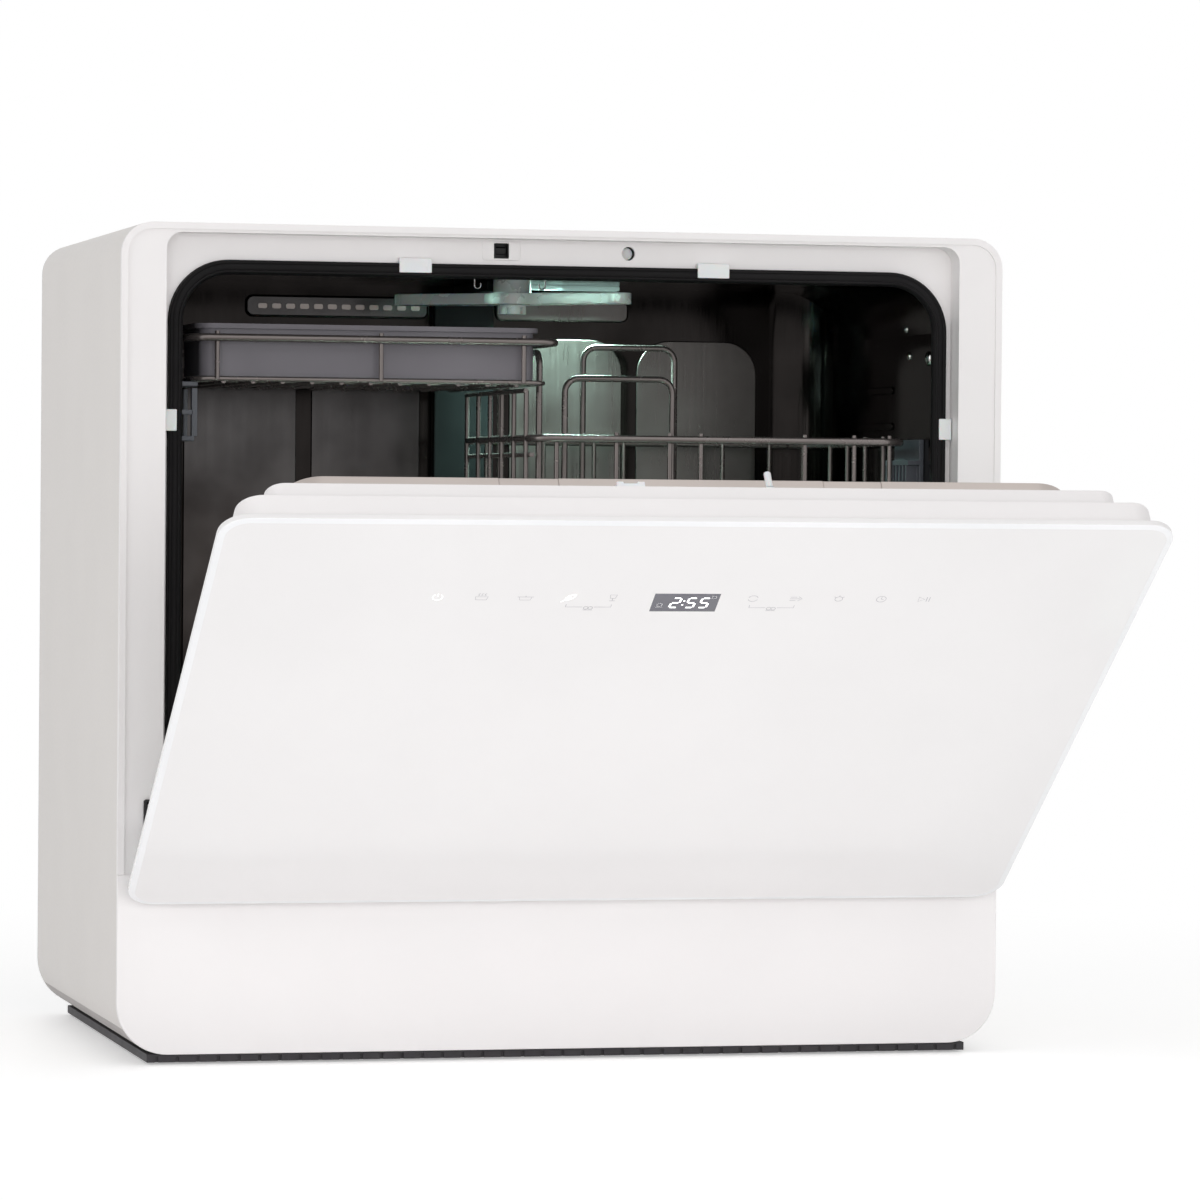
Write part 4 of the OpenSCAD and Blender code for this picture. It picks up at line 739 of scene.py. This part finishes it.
# The bulb is slimmer at its two feet, where the basket's wheels roll past
feet_of_bulb = {0: 0.72, 1: 0.72, -1: 0.72, -2: 0.72}
bulb = wire("seal_bulb", gate_path(239.4, 478.4, 32.6, 18.0), 4.4, sides=5, girth=feet_of_bulb)
lip = wire("seal_lip", gate_path(242.4, 481.4, 35.6, 15.2), 1.4, sides=3)
bead = wire("seal_bead", gate_path(237.6, 475.9, 30.8, 14.2), 1.0, sides=3, girth=feet_of_bulb)
seal = join([bulb, lip, bead], "door_seal")
settle(seal, "body", PAINT["seal_rubber"], instead=("tub_gasket",))
sill = block("sill_seal", (-235, 12.4, 117), (235, 19.5, 127))
soften(sill, 2.5, 3)
settle(sill, "body", PAINT["seal_rubber"])
print("seal:", len(seal.data.polygons), "faces")

# %% [markdown]
# ## Pressed forms and fittings in the tub
# A tub is drawn from thin sheet, and broad pressed fields keep its walls from drumming. Their slopes catch
# the lamp. Each field is a plate 1.2 mm proud with round corners: a box, its corner edges bevelled, then all
# its edges. The rear wall also has a raised channel below the ceiling, with a row of air slots in its left
# half. The right wall carries three domed rivets of the bracket behind it, and two spring clips hold the
# spray arm's hub.

# %% Pressed fields


def rounded_block(name, lo, hi, r, along, soft, steps=3):
    """A box whose four edges along one axis are rounded by r, and the rest by soft."""
    ob = block(name, lo, hi)
    axis = "XYZ".index(along)
    edit(ob)
    pick(ob, "edges", lambda e: abs((e.verts[0].co - e.verts[1].co).normalized()[axis]) > 0.9)
    bpy.ops.mesh.bevel(offset=r * MM, segments=8, affect="EDGES")
    done()
    soften(ob, soft, steps, 50)
    return ob


REAR, WALL = 272, 241
SLOT_PITCH = 9.2
fields = [rounded_block(f"field_{i}", (x0, REAR - 1.2, 196), (x1, REAR + 0.3, 446), 22, "Y", 1.0)
          for i, (x0, x1) in enumerate(((-192, -118), (-108, -36), (24, 100), (110, 192)))]
channels = [rounded_block(f"channel_{i}", (x0, REAR - 3, 457.5), (x1, REAR + 0.3, 472), 5, "Y", 1.6)
            for i, (x0, x1) in enumerate(((-152, -31), (14, 104)))]
wall_ribs = []
for side, y0 in ((1, 118), (-1, 124)):
    a, b = sorted((side * (WALL - 1.1), side * (WALL + 0.3)))
    wall_ribs += [rounded_block(f"rib_{side}_{z}", (a, y0 if z > 350 else 60, z - 2.4), (b, 226, z + 2.4),
                                2.3, "X", 0.9) for z in (412, 389, 250, 230)]
# The far fields get the darker copy of the steel, as painted shade, and those on the lamp's side the lighter
# one, as painted lamp light.
for name, group, steel in (("pressed_fields", fields[:2] + channels[:1], far_field_steel_painted_shade),
                           ("pressed_fields_lamp_side", fields[2:] + channels[1:], pressed_steel),
                           ("wall_ribs", wall_ribs, PAINT["tub_steel"])):
    press = settle(join(group, name), "body", steel)
    print(name, len(press.data.polygons), "faces")
# The air slots are not cut: pale plates of the liner's steel lie on the channel, as painted light for the
# light seen through the slots.
slots = [rounded_block(f"slot_{i}", (-144 + i * SLOT_PITCH, REAR - 3.15, 463),
                       (-138 + i * SLOT_PITCH, REAR - 2.9, 466.4), 1.2, "Y", 0.1, 1) for i in range(12)]
settle(join(slots, "air_slots"), "body", liner_steel)

# %% Rivets and hub clips


def dome(name, r, rise, at, turn):
    """A low round dome on a wall, turned so that its crown looks along the given way."""
    bpy.ops.object.select_all(action="DESELECT")
    bpy.ops.mesh.primitive_uv_sphere_add(segments=32, ring_count=16, radius=r * MM)
    ob = bpy.context.object
    ob.name = name
    edit(ob)
    pick(ob, "verts", lambda v: v.co.z < -1e-6)
    bpy.ops.mesh.delete(type="VERT")
    bpy.ops.mesh.select_all(action="SELECT")
    bpy.ops.mesh.edge_face_add()
    done()
    ob.scale.z = rise / r
    ob.rotation_euler = turn
    ob.location = mm(*at)
    bpy.ops.object.shade_smooth_by_angle(angle=math.radians(60))
    bpy.ops.object.transform_apply(location=True, rotation=True, scale=True)
    return ob


INWARD = (0, -math.pi / 2, 0)
rivets = [dome(f"rivet_{i}", r, rise, (WALL, y, z), INWARD) for i, (r, rise, y, z) in enumerate((
    (4.6, 2.2, 42.8, 430.6), (2.8, 1.6, 84.4, 433), (2.8, 1.6, 90.5, 450.4)))]
settle(join(rivets, "wall_rivets"), "body", chrome)
HUB_Y = 160
clips = []
for i, (x, s) in enumerate(((-24.5, 1), (21.5, -1))):
    hook = arc(x + 2 * s, 476, 2, 180 if s > 0 else 0, 360 if s > 0 else -180, HUB_Y, 6)
    path = [(x, HUB_Y, 480), (x, HUB_Y, 476)] + hook + [(x + 4 * s, HUB_Y, 477.5)]
    clips.append(wire(f"clip_{i}", path, 0.6, sides=2))
settle(join(clips, "hub_clips"), "body", chrome)
print(len(rivets), "rivets and", len(clips), "clips")

# %% [markdown]
# ## The latch's surround and the hinge slots
# The latch bolt comes out of a square hole with a black liner, in a slightly raised field of the frame. The
# arms of the hinges pass through two slots, and black liners in them stand for the shade inside the slots,
# as painted shade.

# %% Surround and slot liners


def bored(ob, lo, hi):
    """Cuts a box-shaped hole through ob."""
    tool = block("tool", lo, hi)
    modify(ob, "BOOLEAN", object=tool, operation="DIFFERENCE", solver="EXACT")
    bpy.data.objects.remove(tool)
    return ob


LATCH_X, LATCH_Z = -39, 491.5


def about_latch(wide, high, y0, y1):
    """The two corners of a box centred on the latch, wide and high to each side."""
    return (LATCH_X - wide, y0, LATCH_Z - high), (LATCH_X + wide, y1, LATCH_Z + high)


field = rounded_block("latch_field", *about_latch(12, 5.9, 18.9, 19.7), 2.2, "Y", 0.5)
bored(field, *about_latch(4.7, 4.7, 15, 25))
settle(field, "body", PAINT["white_shell"])
collar = rounded_block("latch_collar", *about_latch(4.6, 4.6, 18.6, 23), 1.6, "Y", 0.4)
bored(collar, *about_latch(3.9, 3.9, 15, 25))
settle(collar, "body", PAINT["black_plastic"])
# Black liners line the hinge slots' walls, as painted shade inside the slots.
LINER_WALL = 1.6
liners = []
for side in (-1, 1):
    a, b = sorted((side * 251.6, side * 259.4))
    one = rounded_block(f"slot_liner_{side}", (a, -0.5, 128), (b, 4.6, 159), 1.5, "Y", 0.3)
    liners.append(bored(one, (a + LINER_WALL, -3, 128 + LINER_WALL), (b - LINER_WALL, 8, 159 - LINER_WALL)))
settle(join(liners, "slot_liners"), "body", PAINT["black_plastic"])
print("surround and liners ready")

# %% [markdown]
# ## Screws, thread and barbs
# Pan-head screws with a cross recess hold the rear panel and the base. One head is made and copied. The
# inlet's G 3/4 thread has 14 turns to the inch, so its crests are 1.8 mm apart. The drain spigot has three
# barbs. Both are turned parts: a ring is drawn out along Y, and each new ring is made wider or narrower. The
# wall of the CAD part is drawn in below them first, in a copy of its mesh.

# %% Screws


def screw(name):
    """A pan head 8 mm wide that looks along +Z, with its cross."""
    head = dome(name, 4.0, 2.3, (0, 0, 0), (0, 0, 0))
    for turn in (0, 90):
        tool = block("tool", (-2.4, -0.5, 0.9), (2.4, 0.5, 3))
        tool.rotation_euler.z = math.radians(turn)
        bpy.ops.object.transform_apply(location=False, rotation=True, scale=False)
        modify(head, "BOOLEAN", object=tool, operation="DIFFERENCE", solver="EXACT")
        bpy.data.objects.remove(tool)
    return head


master = screw("screw")
heads = []
REAR_SCREWS = ((262, 480), (262, 260), (262, 60), (120, 494), (40, 494))
BASE_SCREW_X, BASE_SCREW_Z = 214, 6
places = [((s * x, 340, z), (-math.pi / 2, 0, 0)) for s in (-1, 1) for x, z in REAR_SCREWS]
places += [((s * BASE_SCREW_X, y, BASE_SCREW_Z), (math.pi, 0, 0)) for s in (-1, 1) for y in (80, 170, 260)]
for i, (at, turn) in enumerate(places):
    head = master.copy()
    head.data = master.data.copy()
    head.name = f"screw_{i}"
    head.rotation_euler = (turn[0], turn[1], 0.4 * i)
    head.location = mm(*at)
    bpy.context.scene.collection.objects.link(head)
    heads.append(head)
bpy.data.objects.remove(master)
settle(join(heads, "screws"), "body", PAINT["spring_steel"])
print(len(places), "screws")

# %% Thread, barbs and ribs


def drawn_in(node, x, z, y_from, above, to):
    """A copy of a CAD node whose outer wall behind y_from, wider than above, is drawn in to the radius to."""
    ob = copied(node)
    axis = mm(x, 0, z)
    for v in ob.data.vertices:
        out = Vector((v.co.x - axis.x, 0, v.co.z - axis.z))
        if v.co.y > y_from * MM and out.length > above * MM:
            v.co = Vector((axis.x, v.co.y, axis.z)) + out.normalized() * to * MM
    return stand_in(ob, node, 0.4)


def turned(name, profile, x, z, sides=48):
    """A turned part on an axis along Y, from points of radius and y."""
    bpy.ops.object.select_all(action="DESELECT")
    bpy.ops.mesh.primitive_circle_add(vertices=sides, radius=profile[0][0] * MM, rotation=(math.pi / 2, 0, 0),
                                      location=mm(x, profile[0][1], z))
    ob = bpy.context.object
    ob.name = ob.data.name = name
    bpy.ops.object.transform_apply(location=True, rotation=True, scale=True)
    edit(ob)
    for (r0, y0), (r1, y1) in zip(profile, profile[1:]):
        bpy.ops.mesh.extrude_edges_move(TRANSFORM_OT_translate={"value": (0, (y1 - y0) * MM, 0)})
        k = r1 / r0
        bpy.ops.transform.resize(value=(k, 1, k), center_override=mm(x, y1, z))
    bpy.ops.mesh.select_all(action="SELECT")
    bpy.ops.mesh.normals_make_consistent(inside=False)
    done()
    bpy.ops.object.shade_smooth_by_angle(angle=math.radians(40))
    return ob


inlet = (190, 52)
drain = (123, 52)
gland = (-190, 52)
drawn_in("inlet_valve", *inlet, 328.6, 13.0, 12.1)
drawn_in("drain_hose", *drain, 326.2, 8.9, 7.9)
PITCH = 25.4 / 14
thread = [(12.1, 328.7)]
for i in range(7):
    y = 329 + i * PITCH
    thread += [(12.2, y), (13.2, y + 0.7), (13.2, y + 1.0), (12.2, y + PITCH - 0.1)]
settle(turned("inlet_thread", thread, *inlet), "body", PAINT["tank_ivory"])
BARB_GAP = 4.6
barbs = [(7.9, 327)]
for i in range(3):
    y = 327.2 + i * BARB_GAP
    barbs += [(9.0, y), (9.0, y + 0.6), (7.9, y + 4.5)]
settle(turned("spigot_barbs", barbs, *drain), "body", PAINT["hose_grey"])
RIBS = 16
ribs = []
for i in range(RIBS):
    one = rounded_block(f"rib_{i}", (-0.8, 329.2, 10.8), (0.8, 335.8, 11.5), 0.5, "Y", 0.2, 2)
    turn = Matrix.Rotation(2 * math.pi * i / RIBS, 4, "Y")
    one.matrix_world = Matrix.Translation(mm(gland[0], 0, gland[1])) @ turn @ one.matrix_world
    ribs.append(one)
settle(join(ribs, "gland_ribs"), "body", PAINT["black_plastic"])
print("thread, barbs and ribs ready")

# %% [markdown]
# ## Floor and light
# The photograph has a white ground and a white background, with a soft shadow under the machine. The floor
# is a large pale sheet. The world is white for the camera and in reflections, and dimmer for what it lights,
# most of all overhead, so that the top faces keep their tone. A weak key lamp stands above, one fills from
# the left, one from low in front, and one lies on the table as a reflector board would. The machine's own
# lamp lights the tub.

# %% Floor
bpy.ops.object.select_all(action="DESELECT")
bpy.ops.mesh.primitive_plane_add(size=16, location=(0, 0, -0.0002))
floor = bpy.context.object
floor.name = "floor"
m, tree, at, out = blank("studio_floor")
grain = add(tree, "TexNoise", {"Vector": at, "Scale": 60.0, "Detail": 3.0})
far = add(tree, "VectorMath", {0: at}, operation="LENGTH")
fade = add(tree, "MapRange", {"Value": far.outputs["Value"], "From Min": 0.5, "From Max": 1.3,
                              "To Min": 0.0, "To Max": 1.0})
rays = add(tree, "LightPath")
eye = add(tree, "Math", {0: rays.outputs["Is Camera Ray"], 1: rays.outputs["Is Glossy Ray"]},
          operation="MAXIMUM")
paper = add(tree, "BsdfPrincipled", {
    "Base Color": ramp(tree, grain.outputs["Fac"], [(0.3, "F4F4F4"), (0.7, "F6F6F6")]), "Roughness": 0.5})
lift = add(tree, "Emission", {"Color": hexa("FFFFFF"), "Strength": 0.36})
sheet = add(tree, "AddShader", {0: paper.outputs["BSDF"], 1: lift.outputs["Emission"]})
bright = add(tree, "Emission", {"Color": hexa("FFFFFF"), "Strength": 1.0})
seen_floor = add(tree, "MixShader", {0: fade.outputs["Result"], 1: sheet.outputs["Shader"],
                                     2: bright.outputs["Emission"]})
whole = add(tree, "MixShader", {0: eye.outputs["Value"], 1: paper.outputs["BSDF"],
                                2: seen_floor.outputs["Shader"]})
tree.links.new(whole.outputs["Shader"], out.inputs["Surface"])
floor.data.materials.append(m)
floor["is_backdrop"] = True

# %% World and lamps
world = bpy.data.worlds.new("studio")
bpy.context.scene.world = world
world.use_nodes = True
tree = world.node_tree
tree.nodes.clear()
path = add(tree, "LightPath")
seen = add(tree, "Math", {0: path.outputs["Is Camera Ray"], 1: path.outputs["Is Transmission Ray"]},
           operation="MAXIMUM")
seen = add(tree, "Math", {0: seen.outputs["Value"], 1: path.outputs["Is Glossy Ray"]}, operation="MAXIMUM")
white = add(tree, "Background", {"Color": hexa("FFFFFF"), "Strength": 1.0})
sky = add(tree, "SeparateXYZ", {"Vector": add(tree, "TexCoord").outputs["Generated"]}).outputs["Z"]
dim = add(tree, "Background", {"Color": hexa("FFFFFF"), "Strength": span(tree, sky, 0.72, 0.42, 0.0, 0.9)})
both = add(tree, "MixShader", {0: seen.outputs["Value"], 1: dim.outputs["Background"],
                               2: white.outputs["Background"]})
tree.links.new(both.outputs["Shader"], add(tree, "OutputWorld").inputs["Surface"])


def lamp(name, place, target, size, power, tint="FFFFFF", size_y=None):
    data = bpy.data.lights.new(name, "AREA")
    data.energy = power
    data.size = size
    if size_y:
        data.shape = "RECTANGLE"
        data.size_y = size_y
    data.color = hexa(tint)[:3]
    ob = bpy.data.objects.new(name, data)
    ob.location = place
    ob.rotation_euler = (Vector(target) - Vector(place)).to_track_quat("-Z", "Y").to_euler()
    ob.visible_camera = False
    bpy.context.scene.collection.objects.link(ob)
    return ob


lamp("key", (0.6, -2.2, 2.6), (0, 0, 0.2), 2.2, 6.5)
lamp("side", (-2.8, -1.2, 1.2), (0, 0, 0.25), 1.6, 10)
low = lamp("low_fill", (-0.3, -2.6, 0.5), (0, 0, 0.15), 2.4, 20, size_y=0.9)
low.visible_glossy = False
bounce = lamp("table_bounce", (0.1, -0.55, 0.012), (0.1, -0.55, 1), 1.6, 1.3, size_y=1.0)
bounce.visible_glossy = False
# The lens throws its light down in a cone, and a little of it forward on the spray arm
cone = lamp("tub_light", (0.06, 0.244, 0.4765), (0.06, 0.22, 0.3), 0.05, 2.6, "CFFFF0", 0.012)
cone.data.spread = math.radians(125)
glint = lamp("lens_glow", (0.06, 0.236, 0.476), (0.04, 0.18, 0.44), 0.05, 0.25, "CFFFF0", 0.006)
glint.visible_glossy = False
bpy.context.scene.view_settings.view_transform = "Standard"

# %% Sizes, and the end
lo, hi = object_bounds()
for name, box in (("CAD box", cad_box), ("scene box", (lo, hi))):
    print(name, [round(v, 4) for corner in box for v in corner])
